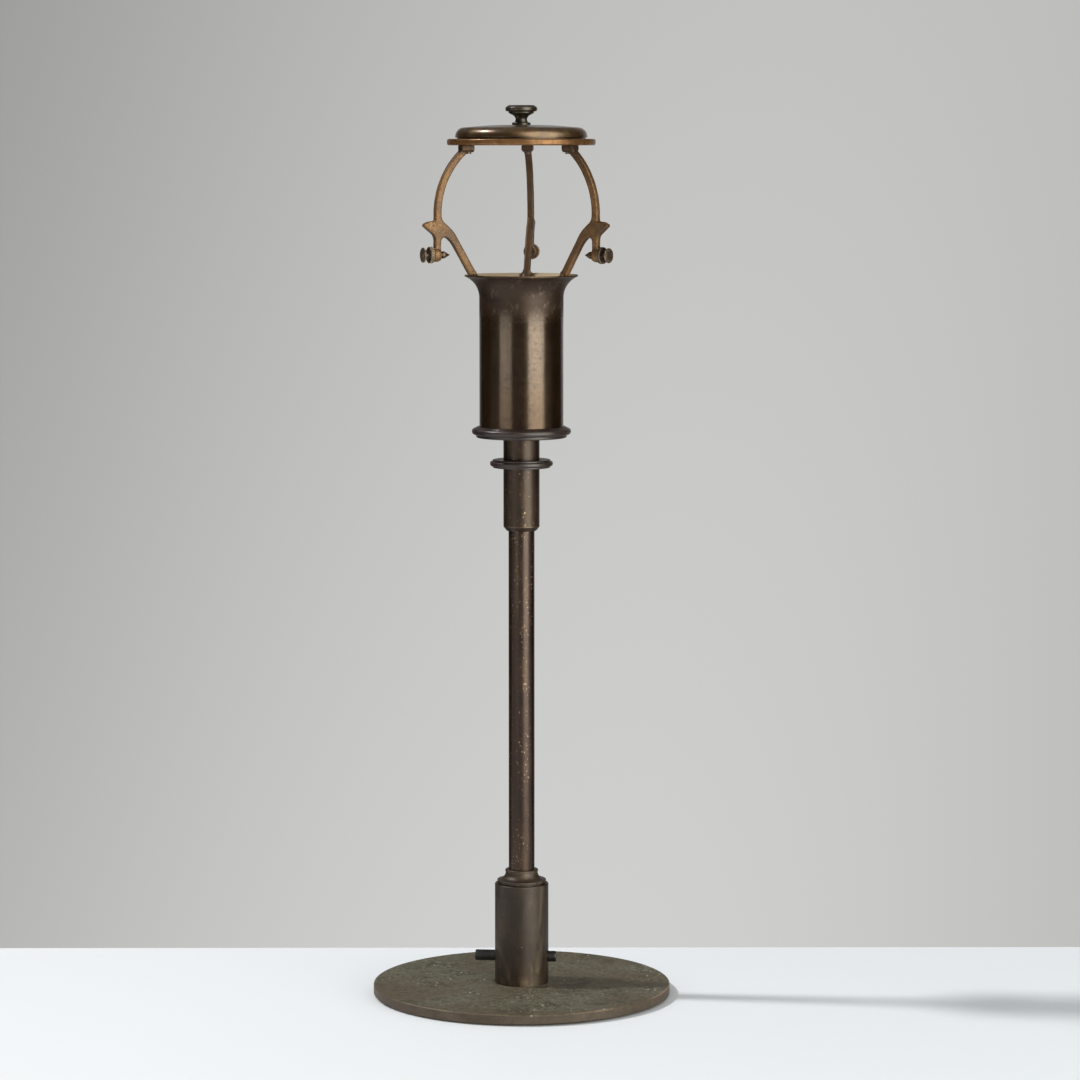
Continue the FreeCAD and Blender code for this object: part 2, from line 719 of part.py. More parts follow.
def house_flange():
    """Moulded flange with a bead over a step, and a seat for the house."""
    bead = FLANGE_DIAMETER / 2
    step = bead - FLANGE_STEP
    bead_bottom = flange_bottom + FLANGE_STEP_HEIGHT
    seat = house_radius + FIT_GAP
    bore = guide_radius + FIT_GAP
    shoulder = guide_radius + BUSH_SHOULDER + FIT_GAP
    return turned([
        (shoulder, flange_bottom),
        (step, flange_bottom, FLANGE_STEP_ROUND),
        (step, bead_bottom),
        (bead, bead_bottom, FLANGE_BEAD_ROUND),
        (bead, bead_bottom + FLANGE_BEAD_HEIGHT, FLANGE_BEAD_ROUND),
        (seat + FLANGE_RIM, flange_top, HOUSE_EDGE_ROUND),
        (seat, flange_top),
        (seat, house_bottom),
        (bore, house_bottom),
        (bore, flange_bottom + BUSH_SHOULDER_HEIGHT),
        (shoulder, flange_bottom + BUSH_SHOULDER_HEIGHT),
    ])


def guide_bush():
    """Bush that slides on the neck and clamps the flange to the house's floor."""
    bore = neck_radius + RUNNING_GAP
    shoulder = guide_radius + BUSH_SHOULDER
    return turned([
        (bore, flange_bottom),
        (shoulder, flange_bottom),
        (shoulder, flange_bottom + BUSH_SHOULDER_HEIGHT),
        (guide_radius, flange_bottom + BUSH_SHOULDER_HEIGHT),
        (guide_radius, bush_top),
        (bore, bush_top),
    ])


def bush_ring_nut():
    nut_radius = RING_NUT_DIAMETER / 2
    nut = disc(nut_radius, house_floor_top, ring_nut_top, guide_radius + FIT_GAP)
    slot = block(
        Vector(nut_radius - RING_NUT_SLOT_DEPTH, -RING_NUT_SLOT_WIDTH / 2, house_floor_top),
        Vector(nut_radius, RING_NUT_SLOT_WIDTH / 2, ring_nut_top),
    )
    for i in range(RING_NUT_SLOTS):
        nut = nut.cut(turned_by(slot, 360 / RING_NUT_SLOTS * i))
    return one(nut)


def lampholder():
    cap = turned([
        (nipple_radius + FIT_GAP, neck_top),
        (holder_radius, neck_top, HOLDER_ROUND),
        (holder_radius, holder_cap_top),
        (holder_bore, holder_cap_top),
        (holder_bore, holder_floor_top),
        (nipple_radius + FIT_GAP, holder_floor_top),
    ])
    mouth = shell_radius + FIT_GAP
    ledge = SHELL_BORE / 2 - SHELL_LEDGE
    sleeve = turned([
        (ledge, holder_cap_top),
        (holder_radius, holder_cap_top),
        (holder_radius, sleeve_top, SLEEVE_ROUND),
        (mouth, sleeve_top, SLEEVE_MOUTH_ROUND),
        (mouth, shell_bottom),
        (ledge, shell_bottom),
    ])
    shell = disc(shell_radius, shell_bottom, shell_top, SHELL_BORE / 2)
    contact = turned([
        (0, holder_cap_top),
        (CONTACT_DIAMETER / 2, holder_cap_top),
        (CONTACT_FLAT_DIAMETER / 2, holder_cap_top + CONTACT_HEIGHT, CONTACT_ROUND),
        (0, holder_cap_top + CONTACT_HEIGHT),
    ])
    insert, screws = holder_insert()
    return {
        "lampholder_cap": cap,
        "lampholder_sleeve": sleeve,
        "screw_shell": shell,
        "centre_contact": contact,
        "lampholder_insert": insert,
        "holder_terminal_screws": screws,
    }


def holder_insert():
    """Insert with two blind holes for the leads, each clamped by a screw from the side."""
    insert = disc(insert_radius, holder_floor_top, holder_cap_top)
    level = (holder_floor_top + holder_cap_top) / 2
    screws = []
    for side in (-1, 1):
        out = Vector(0, side, 0)
        lead = Vector(0, side * WIRE_SPACING / 2, holder_floor_top)
        insert = insert.cut(rod(wire_radius + FIT_GAP, lead, lead + AXIS * WIRE_DEPTH))
        middle = Vector(0, 0, level)
        tip = middle + out * (WIRE_SPACING / 2 + wire_radius + FIT_GAP)
        head = tip + out * TERMINAL_LENGTH
        face = head + out * TERMINAL_HEAD_HEIGHT
        shank = rod(TERMINAL_DIAMETER / 2, tip, head)
        screws.append(one(shank.fuse(rod(TERMINAL_HEAD_DIAMETER / 2, head, face))))
        rim = middle + out * holder_radius
        insert = insert.cut(rod(TERMINAL_DIAMETER / 2 + FIT_GAP, middle + out * (WIRE_SPACING / 2), rim))
        insert = insert.cut(rod(TERMINAL_HEAD_DIAMETER / 2 + FIT_GAP, head, rim))
    return one(insert), Part.makeCompound(screws)


def lead_wires():
    """Two leads: one to the switch's rear blade, one to behind the switch, where the mains lead comes in."""
    spread = WIRE_SPACING / 2
    top = holder_floor_top + WIRE_DEPTH
    lug_top = switch_top + BLADE_LUG
    slant_bottom = lug_top + WIRE_END_RUN
    slant_top = slant_bottom + WIRE_SLANT_HEIGHT
    blade_middle = contact_ring_radius + RUNNING_GAP + BLADE_THICKNESS / 2
    to_blade = bent_rod([
        Vector(0, spread, top),
        Vector(0, spread, slant_top),
        Vector(blade_place, blade_middle, slant_bottom),
        Vector(blade_place, blade_middle, lug_top),
    ], wire_radius)
    to_splice = bent_rod([
        Vector(0, -spread, top),
        Vector(0, -spread, slant_top),
        Vector(-SPLICE_SIDE, SPLICE_BACK, slant_bottom),
        Vector(-SPLICE_SIDE, SPLICE_BACK, lug_top - SPLICE_DROP),
    ], wire_radius)
    return {"lead_wires": Part.makeCompound([to_blade, to_splice])}


def arm_outline():
    """Closed outline of an arm: bowed bar, spur, stalk for the screw's boss, and leg."""
    outside = ARM_WIDEST_RADIUS + ARM_WIDTH / 2
    inside = ARM_WIDEST_RADIUS - ARM_WIDTH / 2
    stalk_out = stalk_radius + STALK_WIDTH / 2
    stalk_in = stalk_radius - STALK_WIDTH / 2
    lean = (ARM_WIDEST_RADIUS - LEG_JOIN_INSET - leg_landing) / LEG_JOIN_HEIGHT
    leg_half = LEG_WIDTH / 2 / math.cos(math.atan(lean))

    def leg(height, side):
        return leg_landing + lean * height + side * leg_half

    lower = rounded_edges([
        (outside, arm_widest),
        (outside, lip + SPUR_TOP_HEIGHT, ARM_EDGE_ROUND),
        (ARM_WIDEST_RADIUS + SPUR_SHOULDER_REACH, lip + SPUR_SHOULDER_HEIGHT, SPUR_SHOULDER_ROUND),
        (ARM_WIDEST_RADIUS + SPUR_TIP_REACH, lip + SPUR_TIP_HEIGHT, SPUR_TIP_ROUND),
        (stalk_out, lip + SPUR_ROOT_HEIGHT, SPUR_ROOT_ROUND),
        (stalk_out, screw_axis),
        (stalk_in, screw_axis),
        (stalk_in, lip + CROTCH_HEIGHT, CROTCH_ROUND),
        (leg(LEG_OUTER_BEND_HEIGHT, 1), lip + LEG_OUTER_BEND_HEIGHT, LEG_BEND_ROUND),
        (leg(-LEG_OVERRUN, 1), lip - LEG_OVERRUN),
        (leg(-LEG_OVERRUN, -1), lip - LEG_OVERRUN),
        (leg(LEG_INNER_BEND_HEIGHT, -1), lip + LEG_INNER_BEND_HEIGHT, LEG_BEND_ROUND),
        (inside, lip + ARM_KNEE_HEIGHT, ARM_KNEE_ROUND),
        (inside, arm_widest),
    ], closed=False)

    bow_rise = ring_bottom - PAD_HEIGHT / 2 - arm_widest
    bow_run = ARM_WIDEST_RADIUS - arm_top_radius
    bow_radius = (bow_run ** 2 + bow_rise ** 2) / (2 * bow_run)
    bow_centre = ARM_WIDEST_RADIUS - bow_radius

    def bow(radius):
        rise = math.asin(bow_rise / radius)
        return [
            Vector(bow_centre + radius * math.cos(turn), 0, arm_widest + radius * math.sin(turn))
            for turn in (0, rise / 2, rise)
        ]

    inner_bow = bow(bow_radius - ARM_WIDTH / 2)
    outer_bow = bow(bow_radius + ARM_WIDTH / 2)
    upper = [
        Part.Arc(*inner_bow).toShape(),
        Part.LineSegment(inner_bow[-1], outer_bow[-1]).toShape(),
        Part.Arc(*reversed(outer_bow)).toShape(),
    ]
    return Part.Wire(lower + upper)


def arm():
    """Cast arm in the X-Z plane, with its top pad, screw boss and soldered foot."""
    half = Vector(0, ARM_THICKNESS / 2, 0)
    face = Part.Face(arm_outline())
    face.translate(half * -1)
    bar = face.extrude(half * 2)
    sides = [edge for edge in bar.Edges if edge.BoundBox.YLength < FIT_GAP]
    bar = bar.makeFillet(ARM_EDGE_ROUND, sides)

    low_half = PAD_WIDTH / 2 - PAD_CHAMFER
    pad_points = [
        (-PAD_WIDTH / 2, ring_bottom),
        (-PAD_WIDTH / 2, pad_bottom + PAD_CHAMFER),
        (-low_half, pad_bottom),
        (low_half, pad_bottom),
        (PAD_WIDTH / 2, pad_bottom + PAD_CHAMFER),
        (PAD_WIDTH / 2, ring_bottom),
        (-PAD_WIDTH / 2, ring_bottom),
    ]
    pad_face = Part.Face(Part.makePolygon([Vector(pad_inner, y, z) for y, z in pad_points]))
    pad = pad_face.extrude(Vector(PAD_LENGTH, 0, 0))

    boss = on_radius(turned([
        (0, boss_inner),
        (BOSS_NOSE_DIAMETER / 2, boss_inner, BOSS_ROUND),
        (BOSS_DIAMETER / 2, stalk_radius, BOSS_ROUND),
        (BOSS_DIAMETER / 2, boss_face, BOSS_ROUND),
        (0, boss_face),
    ]), screw_axis)

    wall = FLARE_RADIUS + HOUSE_WALL
    flare_ring = Part.makeTorus(flare_centre, wall, Vector(0, 0, flare_height))
    liner = Part.makeTorus(flare_centre, wall + LEG_FOOT_THICKNESS, Vector(0, 0, flare_height))
    footprint = block(
        Vector(house_radius - HOUSE_WALL - LEG_FOOT_THICKNESS, -LEG_FOOT_WIDTH / 2, lip - LEG_FOOT_DEPTH),
        Vector(lip_radius, LEG_FOOT_WIDTH / 2, lip),
    )
    foot_pad = liner.common(footprint)

    spot = Vector(ring_screw_radius, 0, pad_bottom + RING_SCREW_SPOT)
    head_room = rod(RING_SCREW_HEAD_DIAMETER / 2 + REST_GAP, spot - AXIS * PAD_HEIGHT, spot)
    shank_room = rod(RING_SCREW_DIAMETER / 2 + FIT_GAP, spot, spot + AXIS * PAD_HEIGHT)
    middle = Vector(0, 0, screw_axis)
    screw_room = rod(boss_bore, middle + Vector(tip_back, 0, 0), middle + Vector(boss_face, 0, 0))

    whole = bar.fuse([pad, boss, foot_pad])
    return one(whole.cut([flare_ring, head_room, shank_room, screw_room]))


def screw_set():
    """Thumb screw, lock nut and tip along +X, each as a turned piece."""
    pivot = TIP_SPIGOT_DIAMETER / 2
    pivot_end = tip_back - TIP_SPIGOT_LENGTH
    tip = turned([
        (0, tip_point),
        (TIP_DIAMETER / 2, tip_point + TIP_POINT_LENGTH, TIP_SHOULDER_ROUND),
        (TIP_DIAMETER / 2, tip_back),
        (pivot + RUNNING_GAP, tip_back),
        (pivot + RUNNING_GAP, pivot_end),
        (0, pivot_end),
    ])
    head = HEAD_DIAMETER / 2
    head_back = head_face - HEAD_THICKNESS
    head_middle = head_face - HEAD_THICKNESS / 2
    screw = turned([
        (0, pivot_end + RUNNING_GAP),
        (pivot, pivot_end + RUNNING_GAP),
        (pivot, tip_back + RUNNING_GAP),
        (screw_radius, tip_back + RUNNING_GAP),
        (screw_radius, head_back),
        (head, head_middle - HEAD_EDGE / 2, HEAD_EDGE_ROUND),
        (head, head_middle + HEAD_EDGE / 2, HEAD_EDGE_ROUND),
        (HEAD_FLAT_DIAMETER / 2, head_face, HEAD_FACE_ROUND),
        (0, head_face),
    ])
    nut_radius = NUT_DIAMETER / 2
    nut_back = nut_face + NUT_THICKNESS
    nut = turned([
        (boss_bore, nut_face),
        (nut_radius, nut_face, NUT_EDGE_ROUND),
        (nut_radius, nut_back, NUT_EDGE_ROUND),
        (nut_radius - NUT_RIM, nut_back),
        (boss_bore, nut_back - NUT_DISH_DEPTH),
    ])
    for i in range(NUT_FLUTES):
        at = turned_point(nut_radius, 360 / NUT_FLUTES * i, nut_face)
        nut = nut.cut(rod(NUT_FLUTE_DIAMETER / 2, at, at + AXIS * NUT_THICKNESS))
    return {
        "thumb_screw": on_radius(screw, screw_axis),
        "lock_nut": on_radius(one(nut), screw_axis),
        "screw_tip": on_radius(tip, screw_axis),
    }


def ring_screw():
    """Screw from below through an arm's pad into the top ring."""
    seat = Vector(ring_screw_radius, 0, pad_bottom + RING_SCREW_SPOT)
    head = rod(RING_SCREW_HEAD_DIAMETER / 2, seat - AXIS * RING_SCREW_HEAD_HEIGHT, seat)
    end = Vector(ring_screw_radius, 0, ring_bottom + RING_SCREW_GRIP)
    return one(head.fuse(rod(RING_SCREW_DIAMETER / 2, seat, end)))


def shade_carrier():
    """Three arms with their screw sets, and the ring on top."""
    nodes = {}
    ring = turned([
        (ring_bore, ring_bottom),
        (ring_radius, ring_bottom, RING_EDGE_ROUND),
        (ring_radius, ring_top, RING_EDGE_ROUND),
        (ring_bore, ring_top),
    ])
    tapped = Vector(ring_screw_radius, 0, ring_bottom)
    hole = rod(RING_SCREW_DIAMETER / 2 + FIT_GAP, tapped, tapped + AXIS * RING_SCREW_GRIP)
    screws = []
    plain_arm = arm()
    plain_set = screw_set()
    for i, name in enumerate(ARM_NAMES):
        angle = FIRST_ARM_ANGLE + 360 / len(ARM_NAMES) * i
        nodes[name + "_arm"] = turned_by(plain_arm, angle)
        for piece, shape in plain_set.items():
            nodes[piece + "_" + name] = turned_by(shape, angle)
        screws.append(turned_by(ring_screw(), angle))
        ring = ring.cut(turned_by(hole, angle))
    nodes["top_ring"] = one(ring)
    nodes["ring_screws"] = Part.makeCompound(screws)
    return nodes


def lid():
    """Lift-off lid: dome on a seat ring, with a knob held by a nut."""
    hole = knob_shank_radius + FIT_GAP
    bore = lid_radius - LID_WALL
    edge_top = lid_top - LID_CROWN
    dome = turned([
        (bore, lid_bottom),
        (lid_radius, lid_bottom),
        (lid_radius, edge_top, LID_EDGE_ROUND),
        (LID_CROWN_RADIUS, lid_top, LID_CROWN_ROUND),
        (hole, lid_top),
        (hole, lid_top - LID_WALL),
        (LID_CROWN_RADIUS, lid_top - LID_WALL, LID_CROWN_ROUND),
        (bore, edge_top - LID_WALL, LID_EDGE_ROUND - LID_WALL),
    ])
    spigot = ring_bore - REST_GAP
    seat_top = ring_top + LID_SEAT_THICKNESS
    seat = turned([
        (spigot - LID_SPIGOT_WALL, ring_top - LID_SPIGOT_DEPTH),
        (spigot, ring_top - LID_SPIGOT_DEPTH),
        (spigot, ring_top),
        (bore - FIT_GAP, ring_top),
        (bore - FIT_GAP, seat_top),
        (spigot - LID_SPIGOT_WALL, seat_top),
    ])
    washer = turned([
        (hole, lid_top),
        (KNOB_WASHER_DIAMETER / 2, lid_top),
        (KNOB_WASHER_DIAMETER / 2, knob_bottom, KNOB_WASHER_ROUND),
        (hole, knob_bottom),
    ])
    nut_top = lid_top - LID_WALL
    nut = turned([
        (hole, nut_top - KNOB_NUT_HEIGHT),
        (KNOB_NUT_DIAMETER / 2, nut_top - KNOB_NUT_HEIGHT, KNOB_NUT_ROUND),
        (KNOB_NUT_DIAMETER / 2, nut_top),
        (hole, nut_top),
    ])
    return {
        "lid_dome": dome,
        "lid_seat_ring": seat,
        "knob_washer": washer,
        "lid_knob": knob(nut_top - KNOB_NUT_HEIGHT),
        "knob_nut": nut,
    }


def knob(shank_end):
    """Turned finger knob on a threaded shank."""
    rim_bottom = knob_bottom + KNOB_RIM_HEIGHT
    rim_top = rim_bottom + KNOB_RIM_THICKNESS
    return turned([
        (0, shank_end),
        (knob_shank_radius, shank_end),
        (knob_shank_radius, knob_bottom),
        (KNOB_BASE_DIAMETER / 2, knob_bottom, KNOB_EDGE_ROUND),
        (KNOB_NECK_DIAMETER / 2, knob_bottom + KNOB_NECK_HEIGHT, KNOB_NECK_ROUND),
        (KNOB_THROAT_DIAMETER / 2, knob_bottom + KNOB_THROAT_HEIGHT, KNOB_THROAT_ROUND),
        (KNOB_STEP_DIAMETER / 2, knob_bottom + KNOB_STEP_HEIGHT, KNOB_EDGE_ROUND),
        (KNOB_STEP_DIAMETER / 2, rim_bottom, KNOB_EDGE_ROUND),
        (KNOB_DIAMETER / 2, rim_bottom, KNOB_RIM_ROUND),
        (KNOB_DIAMETER / 2, rim_top, KNOB_RIM_ROUND),
        (KNOB_TOP_DIAMETER / 2, knob_top, KNOB_EDGE_ROUND),
        (0, knob_top),
    ])


def nodes():
    """Every piece of the stand by name."""
    pieces = {}
    for make in (foot, pillar, switch, stem, neck, house, lampholder, lead_wires, shade_carrier, lid):
        pieces.update(make())
    return pieces


def main():
    os.makedirs("parts", exist_ok=True)
    for name, shape in nodes().items():
        shape.exportStep("parts/" + name + ".step")


if __name__ == "__main__":
    main()
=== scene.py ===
import math

import bmesh
import bpy
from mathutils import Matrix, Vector, noise


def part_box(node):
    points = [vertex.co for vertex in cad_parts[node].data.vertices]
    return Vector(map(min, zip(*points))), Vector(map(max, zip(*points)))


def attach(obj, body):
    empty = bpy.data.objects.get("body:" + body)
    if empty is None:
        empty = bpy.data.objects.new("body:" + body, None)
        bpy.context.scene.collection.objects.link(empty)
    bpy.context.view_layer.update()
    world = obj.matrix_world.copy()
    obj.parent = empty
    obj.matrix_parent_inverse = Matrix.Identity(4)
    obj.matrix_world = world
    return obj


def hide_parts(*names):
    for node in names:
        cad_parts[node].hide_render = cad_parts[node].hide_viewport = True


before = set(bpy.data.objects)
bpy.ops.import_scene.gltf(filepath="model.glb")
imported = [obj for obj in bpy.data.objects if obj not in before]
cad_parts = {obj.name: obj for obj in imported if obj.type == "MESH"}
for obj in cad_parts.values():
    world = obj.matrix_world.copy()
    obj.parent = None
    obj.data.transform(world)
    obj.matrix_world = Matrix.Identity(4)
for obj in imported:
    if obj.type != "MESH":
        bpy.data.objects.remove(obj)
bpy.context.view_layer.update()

# Angle at which each arm of the shade carrier stands
ARM_ANGLES = {"rear": 90.0, "left": 210.0, "right": 330.0}

# Lengths and heights are in metres, and angles in degrees, unless a comment says otherwise.

# Camera: distance from the stand's axis, height over the table, where it stands and looks,
# and its lens and sensor in millimetres
CAMERA_DISTANCE = 2.3
CAMERA_HEIGHT = 0.5218
CAMERA_AZIMUTH = 6.1
CAMERA_PITCH = -5.925
CAMERA_YAW = 0.283
CAMERA_LENS = 125.38
SENSOR_WIDTH = 36.0
CAMERA_FAR = 50.0

# Table: how far it reaches behind the stand and to the other sides, and between which places,
# left and right of the stand, its painted light falls from lighter to darker
TABLE_BACK = 0.132
TABLE_REACH = 4.0
TABLE_PAINTED_FALL = (-0.4, 0.4)

# Cast arms: distance at which points are joined, voxel size, smoothing passes and their strength,
# and the casting's unevenness, in lumps a metre and in depth
JOIN_DISTANCE = 1e-6
ARM_VOXEL = 0.0003
ARM_SMOOTHING = 5
ARM_SOFTENING = 0.5
UNEVEN_SCALE = 260.0
UNEVEN_DEPTH = 0.00009

# Screw boss, which stays even: where it begins, out from the stand's axis, the height of its screw over
# the house's lip, and the radius that is left alone around the screw
BOSS_RADIUS = 0.05
SCREW_HEIGHT = 0.0135
BOSS_CLEAR = 0.0052

# Solder at each leg's foot: where the leg lands, its half thickness, and the fillet's height, reach,
# half width, depth below the lip and steps
LEG_RADIUS = 0.0316
LEG_HALF = 0.00205
SOLDER_HEIGHT = 0.0032
SOLDER_REACH = 0.0034
SOLDER_HALF = 0.0011
SOLDER_SINK = 0.0013
SOLDER_STEPS = 6

# Felt: points around, rings across, gap around the washer, unevenness of its edge and face,
# and lumps a metre
FELT_POINTS = 240
FELT_RINGS = 10
FELT_CLEARANCE = 0.0015
FELT_EDGE = 0.0003
FELT_FACE = 0.00012
FELT_LUMPS = 420.0

# Rolled thread of the lampholder's shell: pitch, thickness of the sheet, depth of the wave,
# points around and steps in a pitch
SHELL_PITCH = 0.0036
SHELL_SHEET = 0.0004
SHELL_WAVE = 0.00045
SHELL_POINTS = 96
SHELL_STEPS = 8

# Masks: cosines between which a surface counts as facing the axis, a normal as that of an edge,
# and shares of open sky between which a place counts as a hollow
INWARD_COSINES = (-0.02, -0.2)
EDGE_COSINES = (0.99, 0.86)
HOLLOW_SHARES = (0.85, 0.35)
MASK_SAMPLES = 4

# Fine grain of the metals, in features a metre, its depth, and the radius of edges that are rubbed bare
GRAIN_SCALE = 1500.0
GRAIN_DEPTH = 0.0002
RUBBED_RADIUS = 0.0006

# Socket house, in heights over its lower edge: where its gloss turns dull, how far clouds shift that,
# and where its lacquer thickens
HOUSE_DULL = (0.0588, 0.0708)
HOUSE_SHIFT = 0.012
HOUSE_LACQUER = (-0.0002, 0.0598)

# Painted shade on the arms: depths under the ring, and distances behind the stand's axis for the rear arm
PADS_SHADE_DEPTHS = (0.007, 0.004)
REAR_SHADE_REACH = (0.0, 0.025)

# Surround: two falls of its light, each with the direction it rises to, the cosines where the rise
# begins and ends, and the share that is left where it begins
LIGHT_FALLS = (
    ((0.94, 0.06, -0.34), (-0.3, 0.13), 0.35),
    ((-1.0, -0.1, -0.01), (-0.27, 0.1), 0.6),
)

# Reflections: direction of the pale backdrop, angles from it where it ends and is full, and the
# cosines from the upright between which the room turns to ceiling
BACKDROP_DIRECTION = (-0.055, 0.985, -0.165)
BACKDROP_ENDS = (44.0, 20.0)
CEILING_ENDS = (0.35, 0.8)

# Soft boxes: angle from the camera's side, width, height of the lower edge and radiance; and for both,
# their distance from the stand's axis, height of the upper edge and colour
BOXES = {
    "soft_box_left": (-44.0, 0.72, 0.2, 3.4),
    "soft_box_right": (41.0, 0.98, 0.005, 6.0),
}
BOX_DISTANCE = 1.2
BOX_TOP = 0.38
BOX_COLOUR = (0.98, 0.965, 0.84)

# Reflected glow above the right soft box: elevation, angles from it where it ends and is full,
# and its share of the box's radiance
GLOW_ELEVATION = 25.0
GLOW_ENDS = (40.0, 24.0)
GLOW_SHARE = 0.8

# Key light, from the camera's left and a little behind the stand, and the even fill
KEY_ELEVATION = 50.0
KEY_BEHIND = 7.0
KEY_STRENGTH = 2.0
KEY_SPREAD = 5.0
FILL_COLOUR = (0.97, 0.985, 1.0, 1.0)
FILL_STRENGTH = 0.52


def shade(red, green, blue):
    """Linear colour from screen values of 0 to 255."""
    def linear(value):
        share = value / 255
        return share / 12.92 if share <= 0.04045 else ((share + 0.055) / 1.055) ** 2.4
    return linear(red), linear(green), linear(blue), 1.0


def darker(colour, share):
    """Colour brought down to a share of its light."""
    return tuple(share * part for part in colour[:3]) + (1.0,)


def around(turn):
    """Level direction at an angle around the stand's axis, in radians."""
    return Vector((math.cos(turn), math.sin(turn), 0.0))


def upward(height):
    return Vector((0.0, 0.0, height))


def put(name, data):
    """New object in the scene."""
    made = bpy.data.objects.new(name, data)
    bpy.context.scene.collection.objects.link(made)
    return made


PALE = shade(222, 222, 220)
BLACK = shade(0, 0, 0)
STUDIO = shade(40, 35, 31)
CEILING = shade(140, 136, 130)
# Table colours for its painted light: lighter on the left, darker on the right
TABLE_PAINTED_LIT = shade(247, 249, 251)
TABLE_PAINTED_SHADED = shade(224, 228, 232)


class Nodes:
    """Short calls for the nodes of a tree. A value is a number, a colour or another node's output."""

    def __init__(self, tree):
        self.tree = tree

    def node(self, kind, **settings):
        made = self.tree.nodes.new(kind)
        for key, value in settings.items():
            setattr(made, key, value)
        return made

    def feed(self, socket, value):
        if isinstance(value, bpy.types.NodeSocket):
            self.tree.links.new(value, socket)
        else:
            socket.default_value = value

    def span(self, value, low, high, start=0.0, end=1.0):
        """Smooth change from start to end as a value goes from low to high."""
        made = self.node("ShaderNodeMapRange", interpolation_type="SMOOTHSTEP")
        self.feed(made.inputs["Value"], value)
        made.inputs["From Min"].default_value = low
        made.inputs["From Max"].default_value = high
        made.inputs["To Min"].default_value = start
        made.inputs["To Max"].default_value = end
        return made.outputs["Result"]

    def maths(self, operation, first, second):
        made = self.node("ShaderNodeMath", operation=operation, use_clamp=True)
        self.feed(made.inputs[0], first)
        self.feed(made.inputs[1], second)
        return made.outputs["Value"]

    def both(self, first, second):
        return self.maths("MULTIPLY", first, second)

    def either(self, first, second):
        return self.maths("MAXIMUM", first, second)

    def mix(self, share, first, second):
        made = self.node("ShaderNodeMix", data_type="RGBA")
        self.feed(made.inputs["Factor"], share)
        self.feed(made.inputs[6], first)
        self.feed(made.inputs[7], second)
        return made.outputs[2]

    def vectors(self, operation, first, second=None):
        made = self.node("ShaderNodeVectorMath", operation=operation)
        self.feed(made.inputs[0], first)
        if second is not None:
            self.feed(made.inputs[1], second)
        return made.outputs["Value" if operation == "DOT_PRODUCT" else "Vector"]


class Surface(Nodes):
    """Material with one Principled shader, and short calls for the patterns that feed it."""

    def __init__(self, name, metallic, roughness):
        self.material = bpy.data.materials.new(name)
        self.material.use_nodes = True
        super().__init__(self.material.node_tree)
        self.shader = self.tree.nodes["Principled BSDF"]
        self.set("Metallic", metallic)
        self.set("Roughness", roughness)
        coordinates = self.node("ShaderNodeTexCoord")
        self.place = coordinates.outputs["Object"]
        self.facing = coordinates.outputs["Normal"]

    def set(self, name, value):
        self.feed(self.shader.inputs[name], value)

    def coat(self, weight, roughness):
        """Thin clear layer of lacquer or wax."""
        self.set("Coat Weight", weight)
        self.set("Coat Roughness", roughness)

    def noise(self, scale, detail=4.0, rough=0.55, stretch=None, twist=0.0):
        """Cloudy noise from 0 to 1, with scale in features a metre."""
        made = self.node("ShaderNodeTexNoise")
        place = self.place
        if stretch:
            mapping = self.node("ShaderNodeMapping")
            self.feed(mapping.inputs["Vector"], place)
            mapping.inputs["Scale"].default_value = stretch
            place = mapping.outputs["Vector"]
        self.feed(made.inputs["Vector"], place)
        made.inputs["Scale"].default_value = scale
        made.inputs["Detail"].default_value = detail
        made.inputs["Roughness"].default_value = rough
        made.inputs["Distortion"].default_value = twist
        return made.outputs["Fac"]

    def cells(self, scale):
        """Distance to the nearest of many scattered points."""
        made = self.node("ShaderNodeTexVoronoi")
        self.feed(made.inputs["Vector"], self.place)
        made.inputs["Scale"].default_value = scale
        return made.outputs["Distance"]

    def part_of(self, vector, axis):
        """One component of a vector."""
        made = self.node("ShaderNodeSeparateXYZ")
        self.feed(made.inputs[0], vector)
        return made.outputs[axis]

    def inward(self):
        """1 where a surface faces the stand's axis."""
        level = self.vectors("MULTIPLY", self.place, (1.0, 1.0, 0.0))
        outward = self.vectors("NORMALIZE", level)
        return self.span(self.vectors("DOT_PRODUCT", outward, self.facing), *INWARD_COSINES)

    def edges(self, radius):
        """Mask of edges, from how far a rounded normal leaves the true one."""
        rounded = self.node("ShaderNodeBevel", samples=MASK_SAMPLES)
        rounded.inputs["Radius"].default_value = radius
        true = self.node("ShaderNodeNewGeometry").outputs["Normal"]
        return self.span(self.vectors("DOT_PRODUCT", rounded.outputs["Normal"], true), *EDGE_COSINES)

    def hollows(self, reach):
        """Mask of corners and of places close under other pieces, used for painted shade."""
        made = self.node("ShaderNodeAmbientOcclusion", samples=MASK_SAMPLES)
        made.inputs["Distance"].default_value = reach
        return self.span(made.outputs["AO"], *HOLLOW_SHARES)

    def grain(self):
        """Fine grain of worn metal."""
        return self.noise(GRAIN_SCALE, 3.0, 0.7)

    def bump(self, height, strength, distance=GRAIN_DEPTH):
        made = self.node("ShaderNodeBump")
        made.inputs["Strength"].default_value = strength
        made.inputs["Distance"].default_value = distance
        self.feed(made.inputs["Height"], height)
        self.set("Normal", made.outputs["Normal"])


